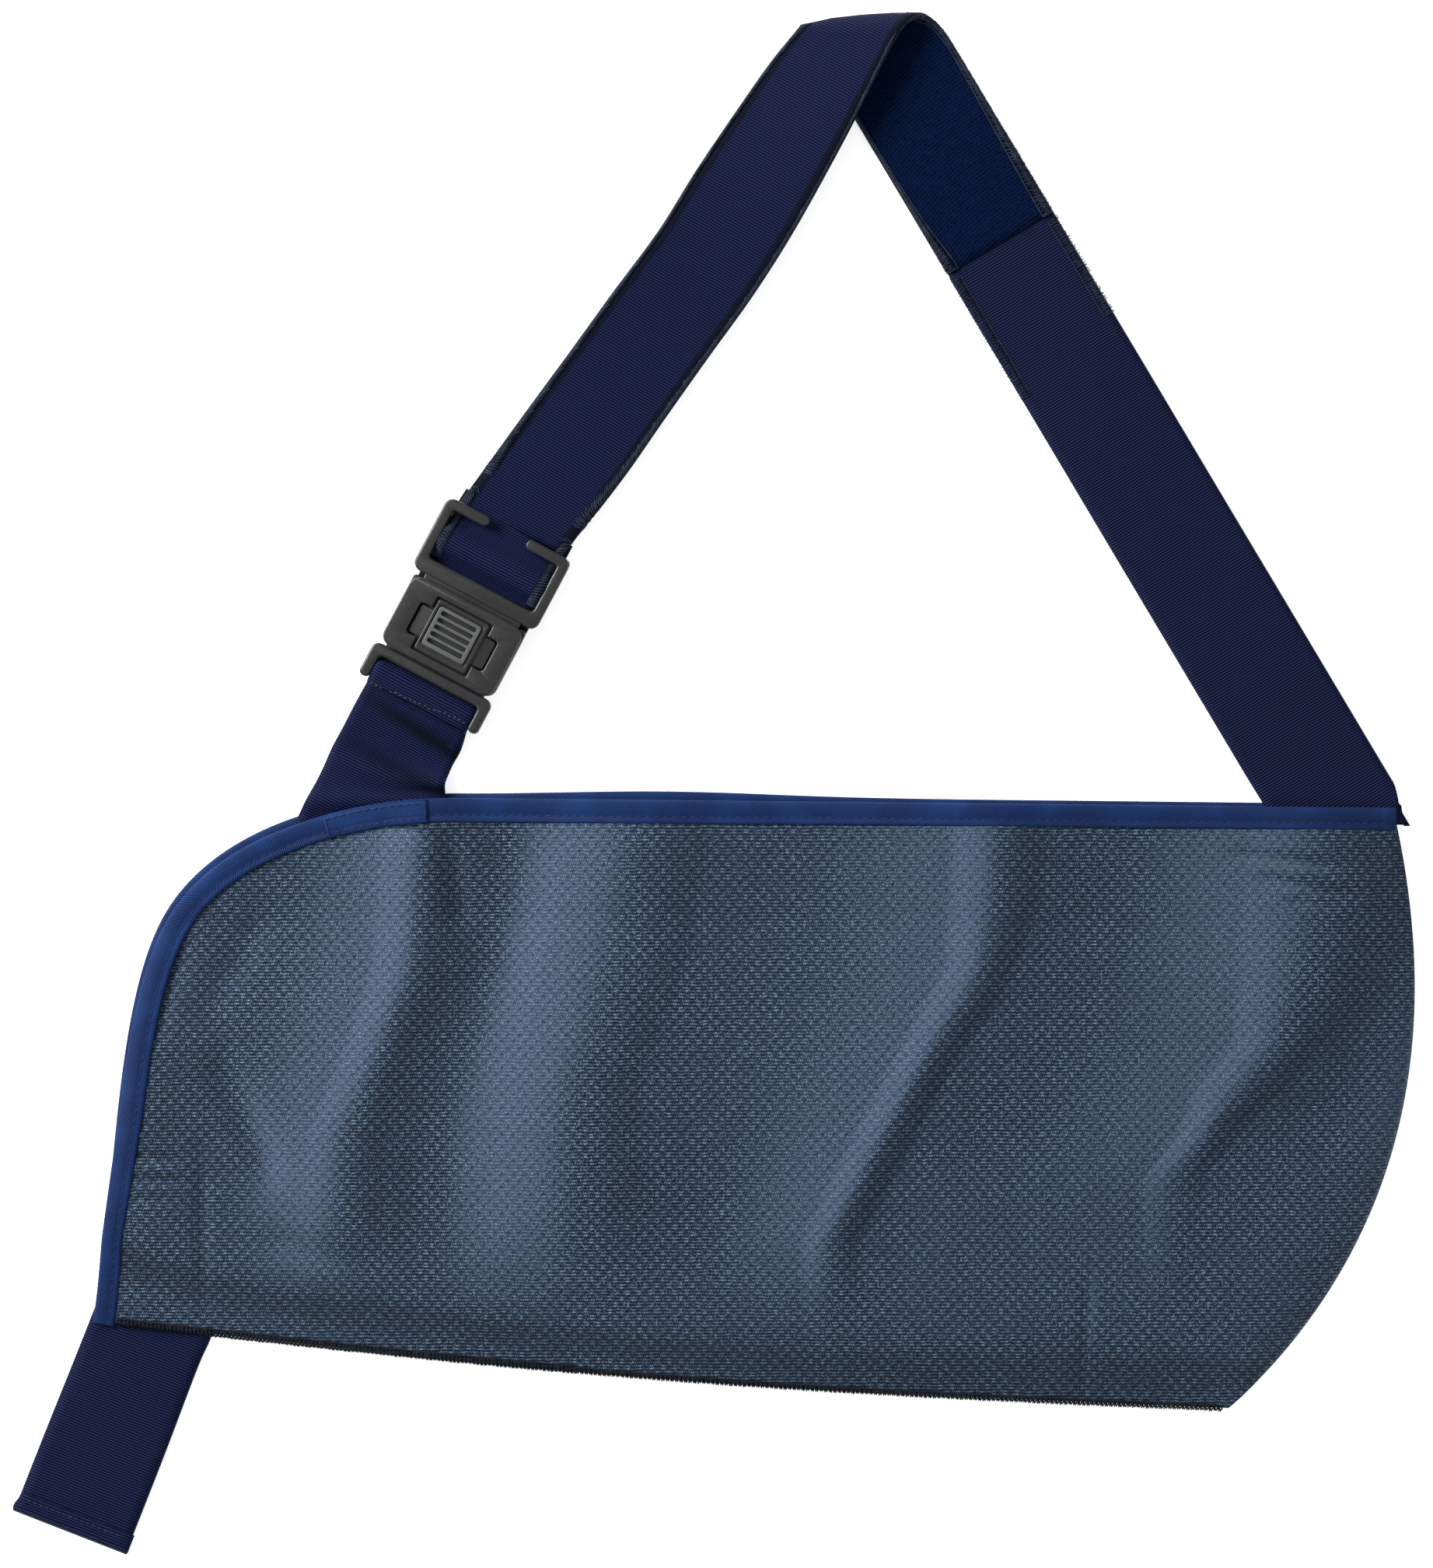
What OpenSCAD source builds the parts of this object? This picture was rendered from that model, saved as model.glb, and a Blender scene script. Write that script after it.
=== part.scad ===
// Arm sling lying flat: mesh pouch, webbing neck strap, slider buckle and hand tab.
// +Z up, +Y from the pouch towards the shoulder fold, origin under the middle of the outline.

/* [Pouch] */
// Thickness of the knitted mesh panels
cloth_t = 0.8; // [0.6:0.1:1]
// Clear height between the panels at the open edges
mouth_h = 4.8; // [4.6:0.1:5.2]
// Extra rise of the front panel in its middle
bulge_h = 6; // [2:1:7]
// Visible width of the binding tape
binding_w = 8; // [6:1:9]
// How far the back binding peeps out past the front one
binding_peep = 2.6; // [2:0.2:3.4]

/* [Webbing] */
// Width of the strap webbing
web_w = 40; // [38:1:40]
// Thickness of the webbing
web_t = 1.4; // [1:0.1:1.4]
// Thickness of the brushed lining
pile_t = 0.5; // [0.3:0.1:0.6]
// Length of the hand tab past the bottom seam
tab_len = 73; // [50:1:80]

/* [Buckle] */
// Lean of the buckle from the Y axis, in degrees
buckle_lean = 28; // [27:1:31]
// Outer width of the slider frame
frame_w = 46; // [45:1:47]
// Length of the slider frame along the strap
frame_l = 26.4; // [25.6:0.2:26.8]
// Width of the side bars
side_bar = 3.6; // [3:0.1:3.8]
// Width of the housing
housing_w = 41; // [40:0.1:41.6]
// Length of the housing
housing_l = 25; // [24:1:26]
// Outer width of the housing's rear arch, which holds the hand strap
rear_w = 44; // [43:1:45]
// How far the plug slides before it is free
release_travel = 15; // [12:1:15]
// How far the button sinks when it is pressed
press_travel = 1.4; // [1:0.1:1.4]

/* [Hidden] */
$fn = 32;

gap = 0.3;          // clearance between layers that follow the same curve
seam_z = 1.4;       // underside of the front panel where it meets a seam
seam_w = 3;         // width of the sewn bottom seam
tape_t = 0.5;       // thickness of the binding tape
thread_w = 0.7;     // width of a run of stitching
thread_t = 0.25;    // height of a run of stitching

// The pouch outline: hand end, shoulder of the hand end, elbow and two straight sides
hand_end = [[-206.9, -178], [-199, -140.3], [-200.3, -75], [-183.7, -44.5]];
hand_shoulder = [[-183.7, -44.5], [-166.9, -13.3], [-122.7, -3], [-90, -3.2]];
elbow_end = [[169.5, -207.3], [228.4, -152], [240.6, -83.3], [224.7, -6.6]];
shoulder_share = 0.25;          // share of the top side that the hand shoulder takes
elbow_middle = [60, -75];       // middle and radius of the circle that the elbow end follows
elbow_r = 172;
elbow_gap_y = -58;              // above this line the elbow end starts to open
bottom_bow = 4.4;               // how far the bottom side bows down in its middle
side_length = 400;              // nominal length of the top and bottom sides
end_length = 190;               // nominal length of the two ends

// Strap layout. The strap turns over along the fold line at the top.
fold_left = [28.4, 250.9];
fold_right = [75, 253.6];
right_lean = 31;                // lean of the elbow leg from the Y axis
hinge_y = -1.5;                 // line that the straps fold about, just past the pouch
strap_end_y = hinge_y + 0.7;
left_knee = [-25.9, 141.3];
left_lean = 33;                 // lean of the buckle leg below the fold
tail_end = [-5, 171.5];
pile_len = [94, 72];            // length of the lining on the elbow leg, along its two edges
upper_z = web_t + pile_t + 1.1; // underside of the left strap
overlock_w = 3.6;

// Buckle layout along its own axis, measured from the middle of the housing
buckle_at = [-86.7, 48.5];
frame_y = 27.1;
frame_z = 4.2;
frame_top = 8;
bar_r = 1.35;
bar_z = 5.45;
slider_w = frame_w - 2 * side_bar - 0.8;
tongue_z = 5.7;
tongue_t = 2.3;
prong_w = 3;
prong_x = 16.2;
base_z = 4;
floor_t = 1.2;
corner_r = 4;                   // corners of the housing
small_r = 0.8;                  // corners of the button and its opening
skirt = [18.6, 17];             // the button's skirt and its two side wings
wings = [27.6, 10];
cover_z = 8.6;
cover_t = 2;
rear_bar_y = -19.8;
rear_bar_z = 6.2;
loop_r = bar_r + 0.1 + web_t / 2;
hand_w = rear_w - 2 * side_bar - 0.8;
slider_end_y = 41;              // where the webbing from the fold enters the slider
leaf_t = 0.25;                  // thickness of the spring leaf

// Hand tab: in line with the webbing inside the pouch
hand_lean = 22.5;
tab_top = [-188.2, -180.9];
tab_seam_lean = 6.5;            // slope of the bottom seam where the tab leaves it
hand_foot = [-113.5, strap_end_y];
tab_end_skew = 3;               // how far the cut end of the tab is from square
hem_l = 5.8;                    // length of the tab's turned hem

cloth = "#3c5573";
tape = "#23418c";
navy = "#141a3c";
brushed = "#0f2855";
thread = "#1c2233";
plastic = "#3c3c3c";

function unit(v) = v / norm(v);
function along(lean) = [sin(lean), cos(lean)];
function across(lean) = [cos(lean), -sin(lean)];
function clamp01(x) = min(1, max(0, x));
function mix(a, b, t) = a * (1 - t) + b * t;
function bezier(p, t) =
    p[0] * pow(1 - t, 3) + p[1] * 3 * t * pow(1 - t, 2) + p[2] * 3 * t * t * (1 - t) + p[3] * pow(t, 3);

// A point of the pouch: u runs from the hand end to the elbow, v from the bottom to the top
function top_side(u) = u < shoulder_share
    ? bezier(hand_shoulder, u / shoulder_share)
    : mix(hand_shoulder[3], elbow_end[3], (u - shoulder_share) / (1 - shoulder_share));
function bottom_side(u) = mix(hand_end[0], elbow_end[0], u) - [0, bottom_bow * sin(180 * clamp01(u))];
function pouch_at(u, v) =
    mix(bottom_side(u), top_side(u), v) + mix(bezier(hand_end, v), bezier(elbow_end, v), u)
    - mix(mix(hand_end[0], elbow_end[0], u), mix(hand_end[3], elbow_end[3], u), v);

// Underside of the front panel: it rises from the seams to the open edges, and swells in between
function rise(distance, span) = sin(90 * clamp01(distance / span));
function bottom_y(x) = bottom_side((x - hand_end[0].x) / (elbow_end[0].x - hand_end[0].x)).y;
function swell(p) =
    let (height = clamp01((p.y - bottom_y(p.x)) / (hand_shoulder[3].y - bottom_y(p.x))))
    bulge_h * sin(180 * height) * (0.75 + 0.25 * cos(p.x * 0.8));
// Near the top of the elbow end the panels stay apart, because the strap's end lies between them
function elbow_rise(p) = max(
    rise(elbow_r - norm([max(0, p.x - elbow_middle.x), p.y - elbow_middle.y]), 60),
    0.6 * clamp01((p.y - elbow_gap_y) / 20));
function front_z(p) =
    seam_z + (mouth_h + cloth_t - seam_z + swell(p)) * elbow_rise(p) * rise(p.y - bottom_y(p.x), 45);

// Rows of points into a closed sheet of thickness t whose underside is at the given heights
module sheet(rows, heights, t) {
    n = len(rows);
    m = len(rows[0]);
    low = [for (i = [0 : n - 1], j = [0 : m - 1]) [rows[i][j].x, rows[i][j].y, heights[i][j]]];
    high = [for (p = low) p + [0, 0, t]];
    s = n * m;
    function at(i, j) = i * m + j;
    tops = [for (i = [0 : n - 2], j = [0 : m - 2], k = [0, 1])
        k == 0 ? [s + at(i, j), s + at(i, j + 1), s + at(i + 1, j + 1)]
               : [s + at(i, j), s + at(i + 1, j + 1), s + at(i + 1, j)]];
    bottoms = [for (f = tops) [f[2] - s, f[1] - s, f[0] - s]];
    rim = concat([for (j = [0 : m - 1]) at(0, j)], [for (i = [1 : n - 1]) at(i, m - 1)],
        [for (j = [m - 2 : -1 : 0]) at(n - 1, j)], [for (i = [n - 2 : -1 : 1]) at(i, 0)]);
    r = len(rim);
    sides = [for (k = [0 : r - 1], h = [0, 1])
        let (a = rim[k], b = rim[(k + 1) % r])
        h == 0 ? [a, b, b + s] : [a, b + s, a + s]];
    faces = concat(tops, bottoms, sides);
    clockwise = cross(rows[1][0] - rows[0][0], rows[0][1] - rows[0][0]) > 0;
    polyhedron(points = concat(low, high), faces = clockwise ? faces : [for (f = faces) [f[2], f[1], f[0]]]);
}

function on_front(rows, lift) = [for (r = rows) [for (p = r) front_z(p) + lift]];
function level(rows, z) = [for (r = rows) [for (p = r) z]];

// The pouch between an inset from its open edges and the seam insets, as rows of points
function panel_rows(inset, columns, lines) =
    let (u0 = inset / side_length, v0 = seam_w / end_length, v1 = 1 - inset / end_length, u1 = 1 - 1.5 / side_length)
    [for (i = [0 : columns]) [for (j = [0 : lines])
        pouch_at(mix(u0, u1, i / columns), mix(v0, v1, j / lines))]];

// A strip along the open edge from one inset to another: up the hand end, then along the top
function edge_rows(inset_a, inset_b, up, on) = [
    for (i = [0 : up - 1]) [for (w = [inset_a, inset_b])
        pouch_at(w / side_length, mix(seam_w / end_length, 1 - w / end_length, i / up))],
    for (i = [0 : on]) [for (w = [inset_a, inset_b])
        pouch_at(mix(w / side_length, 1 - 1.5 / side_length, i / on), 1 - w / end_length)]
];

module back_panel() {
    rows = panel_rows(binding_peep * 0.3, 24, 12);
    n = len(rows) - 1;
    m = len(rows[0]) - 1;
    color(cloth) linear_extrude(cloth_t) polygon(concat(
        [for (j = [0 : m]) rows[0][j]], [for (i = [1 : n]) rows[i][m]],
        [for (j = [m - 1 : -1 : 0]) rows[n][j]], [for (i = [n - 1 : -1 : 1]) rows[i][0]]));
}

module front_panel() {
    rows = panel_rows(binding_peep + 0.6, 32, 18);
    color(cloth) sheet(rows, on_front(rows, 0), cloth_t);
}

module back_binding() {
    rows = edge_rows(binding_peep * 0.3, binding_peep + 2.5, 12, 24);
    color(tape) sheet(rows, level(rows, cloth_t), tape_t);
}

module front_binding() {
    cover = edge_rows(binding_peep + 0.2, binding_peep + binding_w, 12, 32);
    color(tape) sheet(cover, on_front(cover, cloth_t + gap), tape_t);
}

module binding_overlap() {
    rows = [for (u = [0.155 : 0.012 : 0.24]) [for (w = [binding_peep + 0.2, binding_peep + binding_w])
        pouch_at(u, 1 - w / end_length)]];
    color(tape) sheet(rows, on_front(rows, cloth_t + tape_t + 2 * gap), tape_t);
}

module binding_stitch() {
    line = binding_peep + binding_w - 2.3;
    rows = edge_rows(line - thread_w, line, 12, 32);
    color(thread) sheet(rows, on_front(rows, cloth_t + tape_t + gap + 0.02), thread_t);
}

// The overlocked bottom edge, which holds both panels and the webbing between them
module bottom_seam() {
    rows = [for (u = [0 : 1 / 16 : 1]) [pouch_at(u, 0), pouch_at(u, (seam_w - 0.15) / end_length)]];
    color(thread) sheet(rows, level(rows, 0), seam_z + cloth_t);
}

// The turned seam along the curved elbow end
module elbow_seam() {
    rows = [for (v = [seam_w : 12 : end_length - 52]) [for (u = [side_length - 1.3, side_length])
        pouch_at(u / side_length, v / end_length)]];
    color(cloth) sheet(rows, level(rows, 0), seam_z + cloth_t);
}

// A straight strip of webbing between two points
module strip(a, b, width, z, t) {
    side = unit([b.y - a.y, a.x - b.x]) * width / 2;
    translate([0, 0, z]) linear_extrude(t) polygon([a + side, b + side, b - side, a - side]);
}

// A run of stitching round a four-sided box, as a thin raised frame
module stitch_box(middle, w, l, lean, z) {
    translate([middle.x, middle.y, z]) rotate([0, 0, -lean]) linear_extrude(thread_t) difference() {
        square([w, l], center = true);
        square([w - 2 * thread_w, l - 2 * thread_w], center = true);
    }
}

// Webbing sewn to the back panel inside the pouch, in line with the hand strap and the tab
inner_top = [-119.5, -21];
inner_l = 148;
inner_z = cloth_t + 0.05;
module inner_hand_strap() {
    color(navy) strip(inner_top, inner_top - along(hand_lean) * inner_l, web_w - 1, inner_z, web_t);
}

module hand_anchor_stitch() {
    middle = inner_top - along(hand_lean) * 12;
    color(thread) stitch_box(middle, web_w - 8, 10, hand_lean, inner_z + web_t + 0.02);
}

// The sewn end of the long strap, between the panels at the elbow end of the top edge
elbow_anchor_top = [203.5, -10.5];
elbow_anchor_l = 13;
elbow_anchor_z = cloth_t + tape_t + 0.1;
elbow_anchor_cut = -8.2;        // line along the top edge where the sewn end is cut off
module elbow_anchor() {
    foot = elbow_anchor_top - along(-right_lean) * elbow_anchor_l;
    side = across(-right_lean) * web_w / 2;
    color(navy) translate([0, 0, elbow_anchor_z]) linear_extrude(web_t) difference() {
        polygon([elbow_anchor_top + side, foot + side, foot - side, elbow_anchor_top - side]);
        translate([0, elbow_anchor_cut]) square([2 * elbow_anchor_top.x, web_w]);
    }
}

module elbow_anchor_stitch() {
    middle = elbow_anchor_top - along(-right_lean) * 8;
    color(thread) stitch_box(middle, web_w - 14, 7, -right_lean, elbow_anchor_z + web_t + 0.02);
}

// Elbow leg of the strap, from the fold line to the pouch
function right_edge(p) = p - along(-right_lean) * ((p.y - strap_end_y) / cos(right_lean));
module right_strap() {
    color(navy) linear_extrude(web_t)
        polygon([fold_left, fold_right, right_edge(fold_right), right_edge(fold_left)]);
}

// The roll of webbing along the fold line, which joins the two legs
module strap_fold() {
    roll_r = (upper_z + web_t) / 2;
    line = fold_right - fold_left;
    outer = [for (a = [-90 : 15 : 90]) [roll_r * cos(a), roll_r * sin(a)]];
    inner = [for (a = [90 : -15 : -90]) [(roll_r - web_t) * cos(a), (roll_r - web_t) * sin(a)]];
    color(navy) translate([fold_left.x, fold_left.y, roll_r])
        rotate([0, 0, atan2(line.y, line.x)]) translate([0, 0.02, 0]) rotate([90, 0, 90])
            linear_extrude(norm(line)) polygon(concat(outer, inner));
}

// Buckle leg of the strap, on top, from the fold to just short of the slider
left_foot = buckle_point(1, slider_end_y + release_travel + 1);
left_foot_side = across(buckle_lean) * (web_w / 2 - 1);
left_strap_outline = [
    fold_left, fold_right,
    left_knee + across(left_lean) * (web_w / 2 - 1), left_foot + left_foot_side,
    left_foot - left_foot_side, left_knee - across(left_lean) * (web_w / 2 - 1)
];
module left_strap() {
    color(navy) translate([0, 0, upper_z]) linear_extrude(web_t) polygon(left_strap_outline);
}

// Brushed lining: on the elbow leg down to its cut end, and under the buckle leg
module pile_lining() {
    inner = across(-right_lean) * (overlock_w + 0.1);
    down = -along(-right_lean);
    knee_in = across(left_lean) * (web_w / 2 - overlock_w);
    foot_in = across(buckle_lean) * (web_w / 2 - overlock_w);
    color(brushed) {
        translate([0, 0, web_t]) linear_extrude(pile_t) polygon([
            fold_left + inner + down * 4, fold_right - inner + down * 4,
            fold_right - inner + down * pile_len[1], fold_left + inner + down * pile_len[0]]);
        translate([0, 0, upper_z - pile_t]) linear_extrude(pile_t) polygon([
            fold_left + [overlock_w, -4], fold_right - [overlock_w, 4],
            left_knee + knee_in, left_foot + foot_in, left_foot - foot_in, left_knee - knee_in]);
    }
}

// Thread-covered edges of the lined strap
module edge_band(a, b, side, z) {
    inner = side * overlock_w;
    translate([0, 0, z]) linear_extrude(thread_t) polygon([a, b, b + inner, a + inner]);
}

module left_strap_overlock() {
    o = left_strap_outline;
    color(thread) {
        edge_band(o[1], o[2], -across(left_lean), upper_z + web_t);
        edge_band(o[2], o[3], -across(left_lean), upper_z + web_t);
        edge_band(o[0], o[5], across(left_lean), upper_z + web_t);
        edge_band(o[5], o[4], across(left_lean), upper_z + web_t);
    }
}

module right_strap_overlock() {
    down = -along(-right_lean);
    outer_run = [4, 103];
    inner_run = [38, 78];
    color(thread) {
        edge_band(fold_right + down * outer_run[0], fold_right + down * outer_run[1], -across(-right_lean), web_t);
        edge_band(fold_left + down * inner_run[0], fold_left + down * inner_run[1], across(-right_lean), web_t);
    }
}

module in_buckle() {
    translate([buckle_at.x, buckle_at.y, 0]) rotate([0, 0, -buckle_lean]) children();
}
function buckle_point(x, y) = buckle_at + across(buckle_lean) * x + along(buckle_lean) * y;

// A path of [y, z] points in the buckle's middle plane into webbing of the given width
module web_path(path, width, t) {
    n = len(path) - 1;
    function tangent(i) = unit(path[min(n, i + 1)] - path[max(0, i - 1)]);
    function side(i) = [-tangent(i).y, tangent(i).x] * t / 2;
    in_buckle() translate([-width / 2, 0, 0]) rotate([90, 0, 90]) linear_extrude(width)
        polygon(concat([for (i = [0 : n]) path[i] + side(i)], [for (i = [n : -1 : 0]) path[i] - side(i)]));
}

// Hand strap: folded round the rear bar, doubled to its stitching, then down to the pouch
hand_join_y = -34;
hand_join_z = 5.2;
module hand_strap_loop() {
    turn = [for (a = [-90 : 22.5 : 90]) [rear_bar_y + loop_r * cos(a), rear_bar_z + loop_r * sin(a)]];
    under = [[hand_join_y + 1, hand_join_z - web_t - 0.5], [-28, 3.8]];
    over = [[-25.5, 7.7], [-29, 6.3], [hand_join_y, hand_join_z]];
    color(navy) web_path(concat(under, turn, over), hand_w, web_t);
}

module hand_strap() {
    foot = web_w / 2 / cos(hand_lean);
    join_z = hand_join_z - web_t / 2;
    rows = [for (side = [-1, 1])
        [hand_foot + [side * foot, 0], buckle_point(side * hand_w / 2, hand_join_y - 0.05)]];
    color(navy) sheet(rows, [[1.2, join_z], [1.2, join_z]], web_t);
}

module hand_strap_stitch() {
    color(thread) in_buckle() translate([-hand_w / 2 + 2, hand_join_y + 0.8, hand_join_z + web_t / 2 + 0.4])
        cube([hand_w - 4, thread_w, thread_t]);
}

// Rounded rectangle centred on the origin
module round_rect(w, l, r) {
    square([w - 2 * r, l], center = true);
    square([w, l - 2 * r], center = true);
    for (x = [-1, 1], y = [-1, 1]) translate([x * (w / 2 - r), y * (l / 2 - r)]) circle(r);
}

// Bar across the buckle at a given place along it
module cross_bar(y, z, r, w) {
    translate([-w / 2, y, z]) rotate([0, 90, 0]) cylinder(r = r, h = w);
}

module housing_base() {
    wall = 1.9;
    arch_l = 12.8;
    arch_y = -13.2 - arch_l / 2 + 0.4;
    arch_z = base_z + 0.6;
    arch_t = 4.2;
    crown = 3.4;
    neck = [housing_w - 8, 2.5, 3.6];
    color(plastic) in_buckle() {
        difference() {
            translate([0, 0, base_z]) linear_extrude(cover_z - base_z) round_rect(housing_w + 0.6, housing_l, corner_r);
            translate([wall - housing_w / 2, 2 - housing_l / 2, base_z + floor_t])
                cube([housing_w - 2 * wall, housing_l, cover_z]);
        }
        translate([0, 0, arch_z]) linear_extrude(arch_t) difference() {
            translate([0, arch_y]) round_rect(rear_w, arch_l, 1.75);
            translate([0, arch_y - crown]) square([rear_w - 2 * side_bar, arch_l - 0.8], center = true);
        }
        cross_bar(rear_bar_y, rear_bar_z, bar_r, rear_w - 2);
        translate([-neck[0] / 2, -housing_l / 2 - 1.5, arch_z]) cube(neck);
    }
}

module housing_cover() {
    color(plastic) in_buckle() translate([0, 0, cover_z]) linear_extrude(cover_t) difference() {
        round_rect(housing_w, housing_l, corner_r);
        round_rect(skirt[0] + 2, skirt[1] + 1.5, small_r);
        round_rect(wings[0] + 1, wings[1] + 1, small_r);
    }
}

module spring_leaf() {
    leaf = [8, 17];
    color("silver") in_buckle() translate([-leaf[0] / 2, -leaf[1] / 2 - 0.5, base_z + floor_t])
        cube([leaf[0], leaf[1], leaf_t]);
}

// Push button: retaining flange, side wings and a ribbed pad with a plain skirt below it
module push_button() {
    flange_z = base_z + floor_t + leaf_t + press_travel + 0.35;
    flange_t = 1.1;
    wing_top = cover_z + 0.9;
    pad_top = cover_z + cover_t + 0.3;
    groove = [11.2, 0.8, 0.5];
    groove_pitch = 2.2;
    groove_y = 1.6;             // middle groove
    slope = 14;                 // slope of the skirt below the ribs, in degrees
    slope_y = -6;
    color(plastic) in_buckle() difference() {
        union() {
            translate([0, 0, flange_z]) linear_extrude(flange_t) round_rect(skirt[0] + 4.4, skirt[1] + 2.4, small_r);
            translate([0, 0, flange_z]) linear_extrude(wing_top - flange_z) round_rect(wings[0], wings[1], small_r);
            translate([0, 0, flange_z]) linear_extrude(pad_top - flange_z) round_rect(skirt[0], skirt[1], small_r);
        }
        for (i = [-2 : 2]) translate([0, groove_y + i * groove_pitch, pad_top])
            cube([groove[0], groove[1], 2 * groove[2]], center = true);
        translate([-skirt[0], -skirt[1] / 2 - 0.5, pad_top]) rotate([-slope, 0, 0]) translate([0, slope_y, 0])
            cube([2 * skirt[0], 9.5, 4]);
    }
}

// Plug: split-bar slider frame, middle bar and the two prongs that enter the housing
module plug() {
    bar_top = 3.6;
    bar_low = 5.4;
    tongue_y = 10.6;
    prong_foot = -8.5;
    window_l = frame_l - bar_top - bar_low;
    hook_gap = 13.8;
    hook_y = frame_y + frame_l / 2 - bar_top / 2;
    low_edge = frame_y - frame_l / 2;
    color(plastic) in_buckle() {
        difference() {
            translate([0, frame_y, frame_z]) linear_extrude(frame_top - frame_z) round_rect(frame_w, frame_l, 3.2);
            translate([-frame_w / 2 + side_bar, low_edge + bar_low, 0]) cube([frame_w - 2 * side_bar, window_l, 20]);
            translate([-hook_gap / 2 - 2, hook_y - 4, 0]) cube([hook_gap + 4, 8, 20]);
            translate([-slider_w / 2 - 0.2, hook_y - 4, 0]) cube([slider_w + 0.4, 8, frame_z + 0.9]);
        }
        for (x = [-1, 1]) translate([x * (hook_gap / 2 + 1.9), hook_y, frame_z + 0.9])
            cylinder(r = bar_top / 2, h = frame_top - frame_z - 0.9);
        cross_bar(frame_y, bar_z, bar_r, frame_w - 2);
        translate([-prong_x - prong_w / 2, tongue_y, tongue_z])
            cube([2 * prong_x + prong_w, low_edge + 0.5 - tongue_y, tongue_t]);
        for (x = [-1, 1]) translate([x * prong_x - prong_w / 2, prong_foot, tongue_z])
            cube([prong_w, low_edge - prong_foot, tongue_t]);
    }
}

// Webbing through the slider: under the hooks, over the middle bar, under the lower bar,
// down into a slack loop behind the housing and back up
loop_low = 5;
tail_z = web_t / 2;
module slider_strap() {
    path = [
        [slider_end_y, upper_z + web_t / 2], [36.5, 3.8], [33.2, 5.2], [30.6, 7.0], [frame_y, bar_z + loop_r + 0.15],
        [25.2, 7.0], [23, 5.0], [20.6, 3.3], [15, 3.0], [9, 2.9],
        for (a = [90 : 22.5 : 270]) [loop_low + 1.15 + 1.1 * cos(a), tail_z + 1.1 + 1.1 * sin(a)],
        [9, tail_z], [tail_start_y, tail_z]
    ];
    color(navy) web_path(path, slider_w, web_t);
}

tail_start_y = 45;
tail_start = buckle_point(0, tail_start_y + 0.05);
module strap_tail() {
    side = across(buckle_lean) * slider_w / 2;
    knee = left_knee - [1, 1];
    knee_side = across(left_lean) * slider_w / 2;
    color(navy) linear_extrude(web_t) polygon([
        tail_start + side, tail_start - side, knee - knee_side, tail_end - knee_side, tail_end + knee_side, knee + knee_side]);
}

module hook_patch() {
    color(brushed) strip(tail_end - along(left_lean) * 1, tail_end - along(left_lean) * 30, slider_w - 6, web_t, 0.4);
}

module tail_stitch() {
    color(thread) stitch_box(tail_end - along(left_lean) * 15.5, slider_w - 4, 27, left_lean, web_t + 0.42);
}

module hand_tab() {
    side = web_w / 2 / cos(hand_lean - tab_seam_lean);
    seam = across(tab_seam_lean);
    foot = tab_top - along(hand_lean) * tab_len;
    foot_side = across(hand_lean - tab_end_skew) * web_w / 2;
    color(navy) linear_extrude(web_t) polygon([
        tab_top + seam * side, foot + foot_side, foot - foot_side, tab_top - seam * side]);
}

// Hem of the tab's end, turned over on its upper side
module tab_hem() {
    start = tab_top - along(hand_lean) * (tab_len - 1.2);
    color(navy) strip(start, start + along(hand_lean) * hem_l, web_w - 1, web_t, web_t - 0.4);
}

module hem_stitch() {
    middle = tab_top - along(hand_lean) * (tab_len - hem_l);
    reach = across(hand_lean) * (web_w / 2 - 3);
    color(thread) strip(middle + reach, middle - reach, thread_w, 2 * web_t - 0.38, thread_t);
}

back_panel();
front_panel();
back_binding();
front_binding();
binding_overlap();
binding_stitch();
bottom_seam();
elbow_seam();
inner_hand_strap();
hand_anchor_stitch();
elbow_anchor();
elbow_anchor_stitch();
right_strap();
strap_fold();
left_strap();
pile_lining();
left_strap_overlock();
right_strap_overlock();
hand_strap();
hand_strap_loop();
hand_strap_stitch();
housing_base();
housing_cover();
spring_leaf();
push_button();
plug();
slider_strap();
strap_tail();
hook_patch();
tail_stitch();
hand_tab();
tab_hem();
hem_stitch();
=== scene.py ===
import math
import random

import bpy
import bmesh
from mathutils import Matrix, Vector


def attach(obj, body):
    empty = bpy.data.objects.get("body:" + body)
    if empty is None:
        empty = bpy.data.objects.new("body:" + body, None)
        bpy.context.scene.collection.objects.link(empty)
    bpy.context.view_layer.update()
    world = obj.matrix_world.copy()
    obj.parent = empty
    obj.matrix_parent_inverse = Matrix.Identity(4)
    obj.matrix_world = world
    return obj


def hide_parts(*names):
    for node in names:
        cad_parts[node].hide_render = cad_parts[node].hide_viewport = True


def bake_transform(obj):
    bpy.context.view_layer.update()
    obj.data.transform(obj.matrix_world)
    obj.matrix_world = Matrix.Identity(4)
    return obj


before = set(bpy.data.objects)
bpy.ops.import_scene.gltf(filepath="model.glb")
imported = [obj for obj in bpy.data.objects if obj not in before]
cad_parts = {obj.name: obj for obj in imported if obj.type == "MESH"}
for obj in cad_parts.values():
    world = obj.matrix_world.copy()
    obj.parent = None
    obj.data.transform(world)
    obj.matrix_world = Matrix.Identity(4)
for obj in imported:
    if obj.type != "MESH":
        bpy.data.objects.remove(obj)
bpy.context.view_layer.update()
random.seed(7)

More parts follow.
